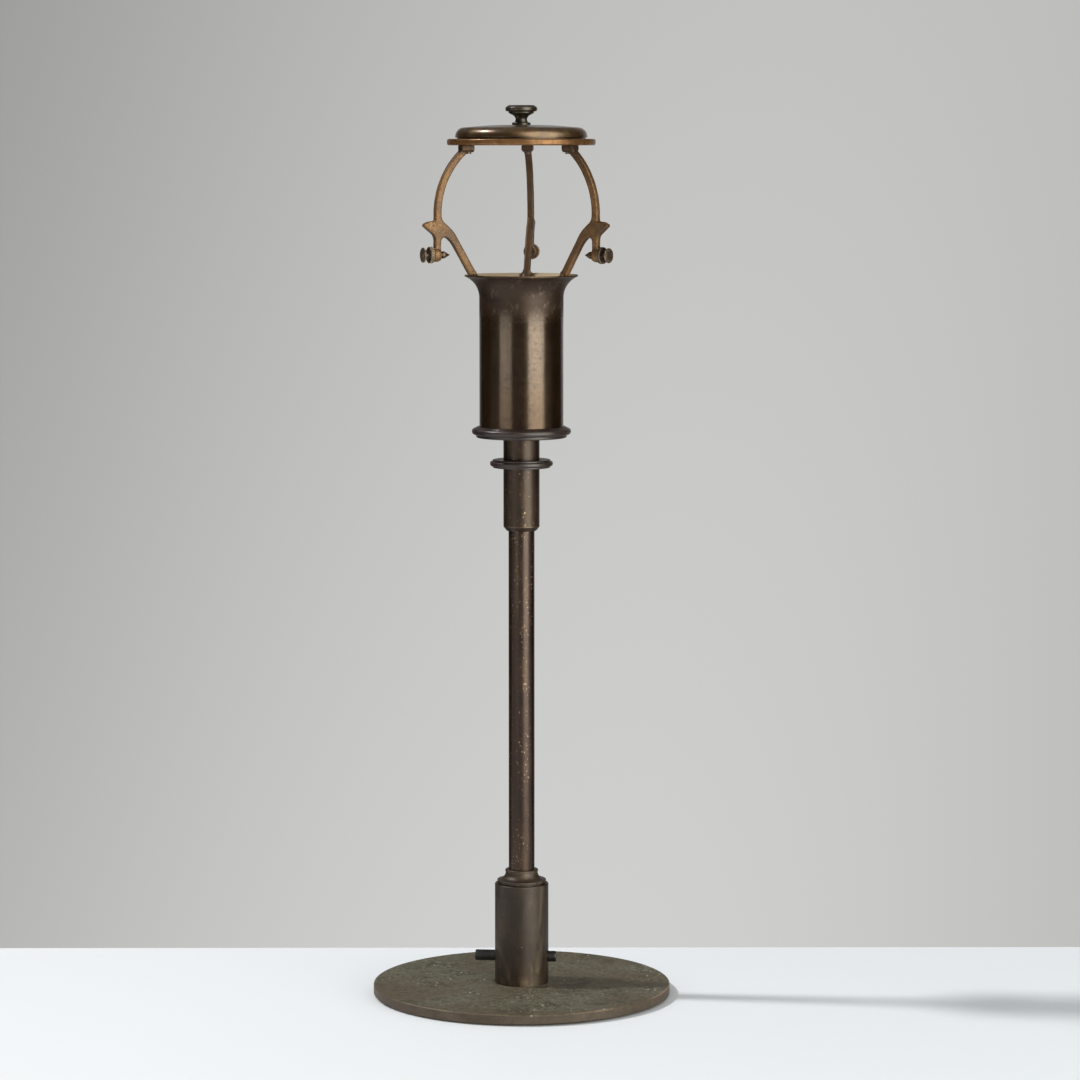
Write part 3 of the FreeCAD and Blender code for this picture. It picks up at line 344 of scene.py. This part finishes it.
def browned_metal(name, dark, light, worn, metallic, roughness, coat, cloud, specks, edge_share=0.5,
                  streak=8.0, corner_shade=0.7, reflection_smears=0.0):
    """Browned brass: cloudy and streaked along the axis, with worn specks, dark pits and rubbed edges.

    cloud is in features a metre, and streak says how many times longer than wide a streak is. specks,
    edge_share, the painted shade in corners and the pale smears, partly worn patina and partly painted
    reflection, are strengths from 0 to 1.
    """
    surface = Surface(name, metallic, roughness[0])
    surface.coat(coat, roughness[0])
    clouds = surface.noise(cloud, 6.0, 0.62)
    streaks = surface.noise(cloud * 3, 3.0, 0.5, stretch=(1.0, 1.0, 1.0 / streak))
    grain = surface.grain()
    fine = surface.noise(700.0, 2.0, 0.6)
    tone = surface.both(surface.span(streaks, 0.34, 0.62), surface.span(clouds, 0.34, 0.64))
    colour = surface.mix(tone, dark, light)
    pits = surface.both(surface.span(surface.cells(520.0), 0.16, 0.05), surface.span(clouds, 0.5, 0.6))
    colour = surface.mix(pits, colour, darker(dark, 0.4))
    threshold = 0.76 - 0.14 * specks
    bare = surface.both(surface.span(fine, threshold, threshold + 0.07), surface.span(streaks, 0.4, 0.65))
    rubbed = surface.both(surface.edges(RUBBED_RADIUS), surface.span(clouds, 0.25, 0.65, 0.0, edge_share))
    colour = surface.mix(surface.either(bare, rubbed), colour, worn)
    if reflection_smears:
        # Pale smears of worn colour: partly worn patina, partly a painted reflection of a soft box
        reflection_smear = surface.noise(34.0, 5.0, 0.6, stretch=(1.0, 1.0, 0.4), twist=0.6)
        colour = surface.mix(surface.span(reflection_smear, 0.48, 0.64, 0.0, reflection_smears), colour, worn)
    # Painted shade: darker colour in corners and close under other pieces
    shaded_corners = surface.both(surface.hollows(0.004), corner_shade)
    surface.set("Base Color", surface.mix(shaded_corners, colour, darker(dark, 0.35)))
    gloss = surface.maths("ADD", surface.both(surface.span(grain, 0.3, 0.7), 0.45),
                          surface.both(surface.span(clouds, 0.3, 0.7), 0.55))
    surface.set("Roughness", surface.span(gloss, 0.0, 1.0, *roughness))
    surface.bump(grain, 0.12)
    return surface.material


def house_metal():
    """Dark bronzed tube: glossy below, dull and smudged above, and paler bare brass inside."""
    surface = Surface("house_bronze", 0.7, 0.2)
    lower_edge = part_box("socket_house")[0].z
    dull_ends = [lower_edge + above for above in HOUSE_DULL]
    lacquer_ends = [lower_edge + above for above in HOUSE_LACQUER]
    height = surface.part_of(surface.place, "Z")
    clouds = surface.noise(38.0, 6.0, 0.62)
    streaks = surface.noise(150.0, 4.0, 0.6, stretch=(1.0, 1.0, 0.14))
    rings = surface.noise(300.0, 3.0, 0.6, stretch=(0.1, 0.1, 1.0))
    grain = surface.grain()
    brown = surface.mix(surface.span(clouds, 0.3, 0.7), shade(51, 33, 18), shade(61, 44, 26))
    brown = surface.mix(surface.span(streaks, 0.5, 0.72, 0.0, 0.5), brown, shade(68, 52, 32))
    bare = surface.span(surface.noise(820.0, 2.0, 0.6), 0.68, 0.75, 0.0, 0.5)
    brown = surface.mix(surface.both(bare, surface.span(clouds, 0.42, 0.6)), brown, shade(132, 106, 70))
    patches = surface.noise(260.0, 3.0, 0.6)
    pits = surface.both(surface.span(surface.noise(950.0, 5.0, 0.85), 0.5, 0.58),
                        surface.span(patches, 0.36, 0.56, 0.35, 1.0))
    brown = surface.mix(surface.both(pits, 0.75), brown, shade(24, 15, 8))
    edge = surface.maths("SUBTRACT", height, surface.both(clouds, HOUSE_SHIFT))
    dull = surface.span(edge, *dull_ends)
    surface.set("Metallic", surface.span(edge, *dull_ends, 0.7, 0.45))
    smudge = surface.both(dull, surface.span(clouds, 0.36, 0.58, 0.5, 0.95))
    brown = surface.mix(surface.both(smudge, 0.8), brown, shade(44, 28, 17))
    scuffs = surface.span(surface.noise(240.0, 4.0, 0.7, stretch=(1.0, 1.0, 0.6)), 0.55, 0.66, 0.0, 0.45)
    brown = surface.mix(surface.both(smudge, scuffs), brown, shade(112, 100, 82))
    rubbed = surface.both(surface.edges(RUBBED_RADIUS), surface.span(clouds, 0.3, 0.6, 0.1, 0.5))
    brown = surface.mix(rubbed, brown, shade(140, 112, 76))
    inside = surface.inward()
    surface.set("Base Color", surface.mix(inside, brown, shade(180, 162, 132)))
    satin = surface.maths("ADD", surface.span(grain, 0.3, 0.7, 0.14, 0.22), surface.both(dull, 0.26))
    satin = surface.maths("ADD", satin, surface.span(rings, 0.45, 0.7, 0.0, 0.06))
    lacquer = surface.both(surface.span(edge, *dull_ends, 0.6, 0.0),
                           surface.span(height, *lacquer_ends, 0.25, 1.0))
    surface.coat(surface.both(lacquer, surface.span(pits, 0.0, 1.0, 1.0, 0.25)), 0.16)
    surface.set("Roughness", surface.maths("ADD", satin, surface.both(inside, 0.2)))
    surface.bump(grain, 0.15)
    return surface.material


def foot_metal():
    """Mottled olive-brown patina with pale flecks, dark stains, a browner rim, and a pale rounded edge that
    is partly painted highlight.
    """
    surface = Surface("foot_patina", 0.12, 0.6)
    surface.set("IOR", 1.36)
    wide = surface.noise(16.0, 5.0, 0.62, twist=0.7)
    middle = surface.noise(85.0, 7.0, 0.7)
    grain = surface.noise(900.0, 4.0, 0.72)
    olive = surface.mix(surface.span(wide, 0.36, 0.64), shade(88, 78, 61), shade(96, 93, 77))
    olive = surface.mix(surface.span(middle, 0.46, 0.72, 0.0, 0.6), olive, shade(62, 56, 43))
    speckle = surface.span(surface.noise(300.0, 5.0, 0.75), 0.48, 0.6, 0.0, 0.85)
    olive = surface.mix(speckle, olive, shade(58, 53, 41))
    stains = surface.both(surface.span(surface.noise(42.0, 4.0, 0.6), 0.56, 0.66), 0.5)
    olive = surface.mix(stains, olive, shade(54, 48, 37))
    spots = surface.noise(480.0, 4.0, 0.7)
    flecks = surface.both(surface.span(spots, 0.56, 0.64), surface.span(middle, 0.4, 0.56))
    flecks = surface.both(flecks, surface.span(wide, 0.42, 0.58, 0.25, 1.0))
    olive = surface.mix(flecks, olive, shade(150, 147, 128))
    dots = surface.both(surface.span(surface.cells(150.0), 0.14, 0.08), surface.span(middle, 0.5, 0.58))
    olive = surface.mix(dots, olive, shade(176, 174, 158))
    lean = surface.part_of(surface.facing, "Z")
    rim_brown = surface.mix(surface.span(middle, 0.35, 0.65), shade(68, 57, 47), shade(88, 75, 64))
    olive = surface.mix(surface.span(lean, 0.8, 0.4, 0.0, 0.85), olive, rim_brown)
    # Paler colour along the rounded top edge of the rim: partly rubbed brass, partly a painted highlight
    rounded = surface.both(surface.span(lean, 0.97, 0.86), surface.span(lean, 0.25, 0.5))
    rubbed = surface.both(rounded, surface.span(wide, 0.4, 0.6, 0.1, 0.7))
    surface.set("Base Color", surface.mix(rubbed, olive, shade(150, 127, 105)))
    surface.set("Roughness", surface.span(middle, 0.3, 0.75, 0.5, 0.68))
    surface.bump(surface.maths("ADD", surface.both(grain, 0.6), surface.both(middle, 0.4)), 0.25, 0.0004)
    return surface.material


def cast_metal():
    """Ochre-brown cast brass with a sandy skin and dark specks, and painted shade on its edges, in its
    hollows, close under the ring and on the rear arm.
    """
    surface = Surface("cast_ochre", 0.35, 0.46)
    wide = surface.noise(48.0, 5.0, 0.62)
    sand = surface.noise(950.0, 4.0, 0.7)
    ochre = surface.mix(surface.span(wide, 0.34, 0.66), shade(80, 56, 32), shade(116, 83, 47))
    ochre = surface.mix(surface.span(sand, 0.54, 0.7, 0.0, 0.6), ochre, shade(84, 58, 34))
    worn = surface.both(surface.span(sand, 0.46, 0.34), surface.span(wide, 0.45, 0.65, 0.0, 0.5))
    ochre = surface.mix(worn, ochre, shade(166, 128, 80))
    specks = surface.both(surface.span(surface.cells(430.0), 0.22, 0.1), surface.span(sand, 0.4, 0.55))
    ochre = surface.mix(specks, ochre, shade(38, 25, 15))
    # Painted shade: darker colour along the arms' edges
    rubbed = surface.both(surface.edges(0.0014), surface.span(wide, 0.3, 0.6, 0.55, 0.9))
    ochre = surface.mix(rubbed, ochre, shade(62, 42, 25))
    # Painted shade: darker close under the ring, on the rear arm, and in hollows and corners
    ring_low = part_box("top_ring")[0].z
    pads_from, pads_full = [ring_low - depth for depth in PADS_SHADE_DEPTHS]
    shade_under_ring = surface.span(surface.part_of(surface.place, "Z"), pads_from, pads_full, 0.0, 0.7)
    shade_on_rear = surface.span(surface.part_of(surface.place, "Y"), *REAR_SHADE_REACH, 0.0, 0.55)
    painted_shade = surface.either(surface.both(surface.hollows(0.007), 0.9), surface.either(shade_under_ring, shade_on_rear))
    surface.set("Base Color", surface.mix(painted_shade, ochre, shade(46, 30, 18)))
    surface.set("Roughness", surface.span(sand, 0.3, 0.7, 0.38, 0.58))
    surface.bump(sand, 0.3, 0.0003)
    return surface.material


def moulded_resin(name, dark, light, roughness):
    """Pressed resin: slight mottling, fine wear on the edges and a soft gloss."""
    surface = Surface(name, 0.0, roughness[0])
    clouds = surface.noise(120.0, 5.0, 0.6)
    grain = surface.noise(1300.0, 3.0, 0.6)
    colour = surface.mix(surface.span(clouds, 0.35, 0.68), dark, light)
    dust = surface.span(grain, 0.68, 0.78, 0.0, 0.3)
    colour = surface.mix(dust, colour, shade(110, 98, 92))
    edge = surface.both(surface.edges(0.0005), surface.span(clouds, 0.35, 0.6, 0.0, 0.35))
    surface.set("Base Color", surface.mix(edge, colour, shade(104, 86, 78)))
    surface.set("Roughness", surface.span(clouds, 0.3, 0.7, *roughness))
    surface.bump(grain, 0.06)
    return surface.material


def porcelain():
    """Glazed white ceramic with faint clouds in the glaze."""
    surface = Surface("glaze", 0.0, 0.12)
    clouds = surface.noise(90.0, 4.0, 0.5)
    glaze = surface.mix(surface.span(clouds, 0.3, 0.7), shade(214, 208, 194), shade(232, 228, 216))
    # Painted shade: glaze darker in corners and close under other pieces
    shaded_corners = surface.both(surface.hollows(0.003), 0.5)
    surface.set("Base Color", surface.mix(shaded_corners, glaze, shade(120, 112, 98)))
    surface.set("Roughness", surface.span(clouds, 0.3, 0.7, 0.1, 0.22))
    surface.bump(surface.noise(160.0, 2.0, 0.5), 0.05, 0.0003)
    return surface.material


def bright_metal(name, dark, light, roughness=(0.25, 0.45)):
    """Plain metal with drawn marks and a little tarnish."""
    surface = Surface(name, 1.0, roughness[0])
    clouds = surface.noise(150.0, 4.0, 0.6)
    lines = surface.noise(800.0, 2.0, 0.5, stretch=(1.0, 1.0, 0.08))
    surface.set("Base Color", surface.mix(surface.span(clouds, 0.3, 0.7), dark, light))
    surface.set("Roughness", surface.span(lines, 0.3, 0.7, *roughness))
    surface.bump(lines, 0.06)
    return surface.material


def felt_cloth():
    """Dark felt: matted fibres with a fuzzy sheen."""
    surface = Surface("felt_pile", 0.0, 0.95)
    fibres = surface.noise(1800.0, 5.0, 0.8, twist=1.2)
    clumps = surface.noise(160.0, 4.0, 0.6)
    colour = surface.mix(surface.span(clumps, 0.3, 0.7), shade(34, 38, 30), shade(50, 54, 42))
    fuzz = surface.span(fibres, 0.52, 0.72, 0.0, 0.6)
    surface.set("Base Color", surface.mix(fuzz, colour, shade(84, 86, 70)))
    surface.set("Sheen Weight", 0.3)
    surface.bump(fibres, 0.6, 0.0006)
    return surface.material


def lead_cover():
    """Cotton-covered lead with a fine braid."""
    surface = Surface("lead_braid", 0.0, 0.8)
    braid = surface.noise(2200.0, 2.0, 0.5, stretch=(1.0, 1.0, 0.4))
    raised = surface.span(braid, 0.4, 0.6)
    surface.set("Base Color", surface.mix(raised, shade(70, 54, 40), shade(104, 84, 62)))
    surface.bump(braid, 0.4, 0.0003)
    return surface.material


MATERIALS = {
    "pillar": browned_metal("pillar_brown", shade(39, 27, 18), shade(61, 47, 33), shade(150, 132, 104),
                            metallic=0.4, roughness=(0.36, 0.54), coat=0.12, cloud=46.0, specks=0.5,
                            streak=3.0, reflection_smears=0.35),
    "stem": browned_metal("stem_brown", shade(45, 29, 19), shade(60, 43, 30), shade(160, 142, 115),
                          metallic=0.65, roughness=(0.24, 0.38), coat=0.16, cloud=60.0, specks=0.9,
                          edge_share=0.4),
    "neck": browned_metal("neck_brown", shade(42, 28, 17), shade(57, 42, 28), shade(160, 138, 104),
                          metallic=0.55, roughness=(0.32, 0.46), coat=0.08, cloud=60.0, specks=0.8,
                          edge_share=0.4),
    "house": house_metal(),
    "ring": browned_metal("ring_gold", shade(100, 67, 34), shade(136, 98, 54), shade(184, 146, 96),
                          metallic=0.6, roughness=(0.3, 0.44), coat=0.15, cloud=70.0, specks=0.4,
                          edge_share=0.3, streak=1.0),
    "lid": browned_metal("lid_bronze", shade(76, 54, 30), shade(108, 82, 49), shade(158, 130, 88),
                         metallic=0.65, roughness=(0.27, 0.36), coat=0.7, cloud=45.0, specks=0.3,
                         edge_share=0.3, streak=1.0),
    "knob": browned_metal("knob_black", shade(50, 45, 36), shade(74, 67, 53), shade(130, 116, 90),
                          metallic=0.5, roughness=(0.28, 0.44), coat=0.4, cloud=120.0, specks=0.3,
                          edge_share=0.5, streak=1.0, corner_shade=0.35),
    "screw": browned_metal("screw_brown", shade(74, 60, 47), shade(116, 97, 78), shade(170, 146, 112),
                           metallic=0.5, roughness=(0.3, 0.46), coat=0.15, cloud=160.0, specks=0.4,
                           edge_share=0.6, streak=1.0, corner_shade=0.4),
    "foot": foot_metal(),
    "cast": cast_metal(),
    "resin": moulded_resin("resin_purple", shade(36, 26, 23), shade(50, 38, 34), (0.32, 0.42)),
    "black": moulded_resin("resin_black", shade(20, 20, 20), shade(32, 31, 30), (0.26, 0.4)),
    "porcelain": porcelain(),
    "brass": bright_metal("plain_brass", shade(172, 134, 74), shade(206, 170, 104)),
    "steel": bright_metal("plain_steel", shade(130, 130, 130), shade(170, 170, 172), (0.3, 0.5)),
    "felt": felt_cloth(),
    "lead": lead_cover(),
}

# Nodes of the frame that have each finish
DRESS = {
    "pillar": ["pillar_tube", "pillar_reducer"],
    "stem": ["stem_tube"],
    "neck": ["neck_ferrule", "neck_tube"],
    "house": ["socket_house"],
    "ring": ["top_ring"],
    "lid": ["lid_dome", "lid_seat_ring"],
    "knob": ["lid_knob", "knob_washer", "knob_nut"],
    "screw": ["ring_screws"] + [
        kind + arm for kind in ("thumb_screw_", "lock_nut_", "screw_tip_") for arm in ARM_ANGLES],
    "foot": ["foot_plate"],
    "cast": [arm + "_arm" for arm in ARM_ANGLES],
    "resin": ["collar_ring", "house_flange"],
    "black": ["switch_bar", "switch_body", "cord_bush"],
    "porcelain": ["lampholder_cap", "lampholder_sleeve", "lampholder_insert"],
    "brass": ["screw_shell", "centre_contact", "switch_contacts", "bar_contact_ring", "socket_nipple",
              "neck_plug", "guide_bush", "bush_ring_nut", "stem_lock_nut", "holder_terminal_screws",
              "pillar_plug"],
    "steel": ["foot_bolt", "foot_washer", "collar_grub_screw"],
    "felt": ["foot_felt"],
    "lead": ["lead_wires"],
}


def dress_nodes():
    """Gives every node of the frame its finish."""
    for finish, names in DRESS.items():
        for name in names:
            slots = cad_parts[name].data.materials
            slots.clear()
            slots.append(MATERIALS[finish])


def new_piece(name, mesh, finish, body, node):
    """Object that rides on a body and stands for a node of the frame."""
    mesh.materials.clear()
    mesh.materials.append(MATERIALS[finish])
    piece = put(name, mesh)
    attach(piece, body)
    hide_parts(node)


def shade_smooth(mesh):
    mesh.polygons.foreach_set("use_smooth", [True] * len(mesh.polygons))


def closed_mesh(name, loops):
    """Ring-shaped mesh through closed loops of points, each joined to the next and the last to the first."""
    shape = bmesh.new()
    rows = [[shape.verts.new(point) for point in loop] for loop in loops]
    for row, following in zip(rows, rows[1:] + rows[:1]):
        for i in range(len(row)):
            shape.faces.new((row[i - 1], row[i], following[i], following[i - 1]))
    bmesh.ops.recalc_face_normals(shape, faces=shape.faces)
    mesh = bpy.data.meshes.new(name)
    shape.to_mesh(mesh)
    shape.free()
    shade_smooth(mesh)
    return mesh


def voxel_skin(mesh):
    """Copy of a mesh as one even skin of small quads."""
    holder = put("skin", mesh)
    skin = holder.modifiers.new("skin", "REMESH")
    skin.mode = "VOXEL"
    skin.voxel_size = ARM_VOXEL
    graph = bpy.context.evaluated_depsgraph_get()
    made = bpy.data.meshes.new_from_object(holder.evaluated_get(graph))
    bpy.data.objects.remove(holder)
    return made


def add_solder(shape, turn, side, lip):
    """Hollow fillet of solder between a leg's side and the house's lip."""
    out = around(turn)
    along = Vector((-math.sin(turn), math.cos(turn), 0.0)) * side
    foot = upward(lip - SOLDER_SINK)
    profile = [(LEG_HALF / 2, 0.0)]
    for step in range(SOLDER_STEPS + 1):
        bend = math.pi / 2 * step / SOLDER_STEPS
        across = LEG_HALF + SOLDER_REACH * (1.0 - math.sin(bend))
        profile.append((across, SOLDER_SINK / 2 + SOLDER_HEIGHT * (1.0 - math.cos(bend))))
    profile.append((LEG_HALF / 2, profile[-1][1]))
    ends = []
    for reach in (LEG_RADIUS - SOLDER_HALF, LEG_RADIUS + SOLDER_HALF):
        ends.append([shape.verts.new(out * reach + along * across + foot + upward(height))
                     for across, height in profile])
    made = [shape.faces.new(ends[0]), shape.faces.new(ends[1])]
    for i in range(len(profile)):
        made.append(shape.faces.new((ends[0][i - 1], ends[0][i], ends[1][i], ends[1][i - 1])))
    bmesh.ops.recalc_face_normals(shape, faces=made)


def cast_arm(name, angle):
    """Arm with soldered foot, softened edges and the unevenness of a sand casting."""
    node = name + "_arm"
    turn = math.radians(angle)
    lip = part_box("socket_house")[1].z
    shape = bmesh.new()
    shape.from_mesh(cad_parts[node].data)
    bmesh.ops.remove_doubles(shape, verts=shape.verts, dist=JOIN_DISTANCE)
    for side in (-1, 1):
        add_solder(shape, turn, side, lip)
    joined = bpy.data.meshes.new(node + "_joined")
    shape.to_mesh(joined)
    shape.free()
    mesh = voxel_skin(joined)
    shape = bmesh.new()
    shape.from_mesh(mesh)
    for _ in range(ARM_SMOOTHING):
        bmesh.ops.smooth_vert(shape, verts=shape.verts, factor=ARM_SOFTENING, use_axis_x=True,
                              use_axis_y=True, use_axis_z=True)
    shape.normal_update()
    out = around(turn)
    screw = upward(lip + SCREW_HEIGHT)
    for vert in shape.verts:
        reach = (vert.co - screw).dot(out)
        from_screw = (vert.co - screw - out * reach).length
        if reach > BOSS_RADIUS and from_screw < BOSS_CLEAR:
            continue
        vert.co += vert.normal * UNEVEN_DEPTH * noise.noise(vert.co * UNEVEN_SCALE)
    shape.to_mesh(mesh)
    shape.free()
    shade_smooth(mesh)
    new_piece(node + "_cast", mesh, "cast", "house", node)


def felt_pad():
    """Felt disc with a soft, slightly ragged edge and an uneven face."""
    low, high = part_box("foot_felt")
    outer = high.x
    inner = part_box("foot_washer")[1].x + FELT_CLEARANCE
    loops = []
    for step in range(FELT_POINTS):
        turn = math.tau * step / FELT_POINTS
        way = around(turn)
        ragged = FELT_EDGE * noise.noise(way * outer * FELT_LUMPS)
        edge = outer - FELT_EDGE + ragged
        loop = [way * inner + upward(high.z), way * (edge - FELT_EDGE) + upward(high.z)]
        loop.append(way * edge + upward((low.z + high.z) / 2))
        for ring in range(FELT_RINGS + 1):
            at = way * (edge - FELT_EDGE + (inner - edge + FELT_EDGE) * ring / FELT_RINGS)
            lift = FELT_FACE * (0.5 + 0.5 * noise.noise(at * FELT_LUMPS))
            loop.append(at + upward(low.z + lift))
        loops.append(loop)
    mesh = closed_mesh("foot_felt_pad", loops)
    new_piece("foot_felt_pad", mesh, "felt", "stand", "foot_felt")


def rolled_shell():
    """Lampholder's shell with its rolled thread."""
    low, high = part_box("screw_shell")
    steps = int((high.z - low.z) / SHELL_PITCH * SHELL_STEPS)
    heights = [low.z + (high.z - low.z) * step / steps for step in range(steps + 1)]
    loops = []
    for point in range(SHELL_POINTS):
        share = point / SHELL_POINTS
        way = around(math.tau * share)
        outside = []
        inside = []
        for height in heights:
            phase = math.tau * ((height - low.z) / SHELL_PITCH - share)
            radius = high.x - SHELL_WAVE * (0.5 - 0.5 * math.cos(phase))
            outside.append(way * radius + upward(height))
            inside.append(way * (radius - SHELL_SHEET) + upward(height))
        loops.append(outside + inside[::-1])
    mesh = closed_mesh("screw_shell_rolled", loops)
    new_piece("screw_shell_rolled", mesh, "brass", "stand", "screw_shell")


def in_front(angle, distance, height):
    """Place in front of the stand, turned to the right by an angle in radians."""
    return Vector((distance * math.sin(angle), -distance * math.cos(angle), height))


def place_camera():
    """Camera of the photo's view."""
    turn = math.radians(CAMERA_AZIMUTH)
    camera = put("camera", bpy.data.cameras.new("camera"))
    camera.data.lens = CAMERA_LENS
    camera.data.sensor_width = SENSOR_WIDTH
    camera.data.clip_end = CAMERA_FAR
    camera.location = in_front(turn, CAMERA_DISTANCE, CAMERA_HEIGHT)
    heading = turn - math.radians(CAMERA_YAW)
    camera.rotation_euler = (math.radians(90.0 + CAMERA_PITCH), 0.0, heading)
    bpy.context.scene.camera = camera


def lay_table():
    """Pale table top that ends behind the stand."""
    reach = TABLE_REACH
    shaded_corners = [(-reach, -reach, 0), (reach, -reach, 0), (reach, TABLE_BACK, 0), (-reach, TABLE_BACK, 0)]
    mesh = bpy.data.meshes.new("table")
    mesh.from_pydata(shaded_corners, [], [(0, 1, 2, 3)])
    table = put("table", mesh)
    table.rotation_euler = (0.0, 0.0, math.radians(CAMERA_AZIMUTH))
    surface = Surface("table_white", 0.0, 0.6)
    clouds = surface.noise(3.0, 3.0, 0.5)
    # Painted light: the table is coloured lighter to the left of the stand and darker to the right
    across = surface.span(surface.part_of(surface.place, "X"), *TABLE_PAINTED_FALL, 0.1, 0.9)
    fall = surface.maths("ADD", surface.both(clouds, 0.15), across)
    surface.set("Base Color", surface.mix(fall, TABLE_PAINTED_LIT, TABLE_PAINTED_SHADED))
    mesh.materials.append(surface.material)


def light_world():
    """Pale surround, an even fill, and for reflections a darker room with a light ceiling and a glow."""
    world = bpy.data.worlds.new("studio")
    bpy.context.scene.world = world
    world.use_nodes = True
    world.node_tree.nodes.clear()
    nodes = Nodes(world.node_tree)
    view = nodes.node("ShaderNodeTexCoord").outputs["Generated"]
    path = nodes.node("ShaderNodeLightPath").outputs

    def rise(direction, ends, least=0.0):
        """Smooth rise to 1 as a ray turns towards a direction."""
        towards = nodes.vectors("DOT_PRODUCT", view, Vector(direction).normalized())
        return nodes.span(towards, *ends, least)

    def cosines(angles):
        return [math.cos(math.radians(angle)) for angle in angles]

    pale = nodes.mix(nodes.both(*[rise(*fall) for fall in LIGHT_FALLS]), BLACK, PALE)
    room = nodes.mix(rise(upward(1.0), CEILING_ENDS), STUDIO, CEILING)
    box_angle, _, _, box_radiance = BOXES["soft_box_right"]
    turn = math.radians(CAMERA_AZIMUTH + box_angle)
    glow_direction = in_front(turn, 1.0, math.tan(math.radians(GLOW_ELEVATION)))
    glow = tuple(GLOW_SHARE * box_radiance * part for part in BOX_COLOUR) + (1.0,)
    room = nodes.mix(rise(glow_direction, cosines(GLOW_ENDS)), room, glow)
    reflected = nodes.mix(rise(BACKDROP_DIRECTION, cosines(BACKDROP_ENDS)), room, pale)
    shown = nodes.node("ShaderNodeBackground")
    nodes.feed(shown.inputs["Color"], nodes.mix(path["Is Glossy Ray"], pale, reflected))
    fill = nodes.node("ShaderNodeBackground")
    nodes.feed(fill.inputs["Color"], FILL_COLOUR)
    nodes.feed(fill.inputs["Strength"], FILL_STRENGTH)
    seen = nodes.either(path["Is Camera Ray"], path["Is Glossy Ray"])
    seen = nodes.either(seen, path["Is Transmission Ray"])
    choose = nodes.node("ShaderNodeMixShader")
    nodes.feed(choose.inputs["Fac"], seen)
    nodes.feed(choose.inputs[1], fill.outputs[0])
    nodes.feed(choose.inputs[2], shown.outputs[0])
    nodes.feed(nodes.node("ShaderNodeOutputWorld").inputs["Surface"], choose.outputs[0])


def soft_box(name, angle, width, bottom, radiance):
    """Upright area light that faces the stand's axis."""
    turn = math.radians(CAMERA_AZIMUTH + angle)
    tall = BOX_TOP - bottom
    light = bpy.data.lights.new(name, "AREA")
    light.shape = "RECTANGLE"
    light.size = width
    light.size_y = tall
    light.energy = radiance * math.pi * width * tall
    light.color = BOX_COLOUR
    holder = put(name, light)
    holder.location = in_front(turn, BOX_DISTANCE, bottom + tall / 2)
    holder.rotation_euler = (math.radians(90.0), 0.0, turn)
    holder.visible_camera = False


def key_light():
    """Distant light from the left of the camera's view."""
    light = bpy.data.lights.new("key", "SUN")
    light.energy = KEY_STRENGTH
    light.angle = math.radians(KEY_SPREAD)
    holder = put("key", light)
    left = math.radians(CAMERA_AZIMUTH - KEY_BEHIND)
    towards = upward(math.tan(math.radians(KEY_ELEVATION))) - around(left)
    holder.rotation_euler = towards.to_track_quat("Z", "Y").to_euler()


bpy.context.scene.view_settings.view_transform = "Standard"
dress_nodes()
for arm_name, arm_angle in ARM_ANGLES.items():
    cast_arm(arm_name, arm_angle)
felt_pad()
rolled_shell()
place_camera()
lay_table()
light_world()
for box_name, placing in BOXES.items():
    soft_box(box_name, *placing)
key_light()
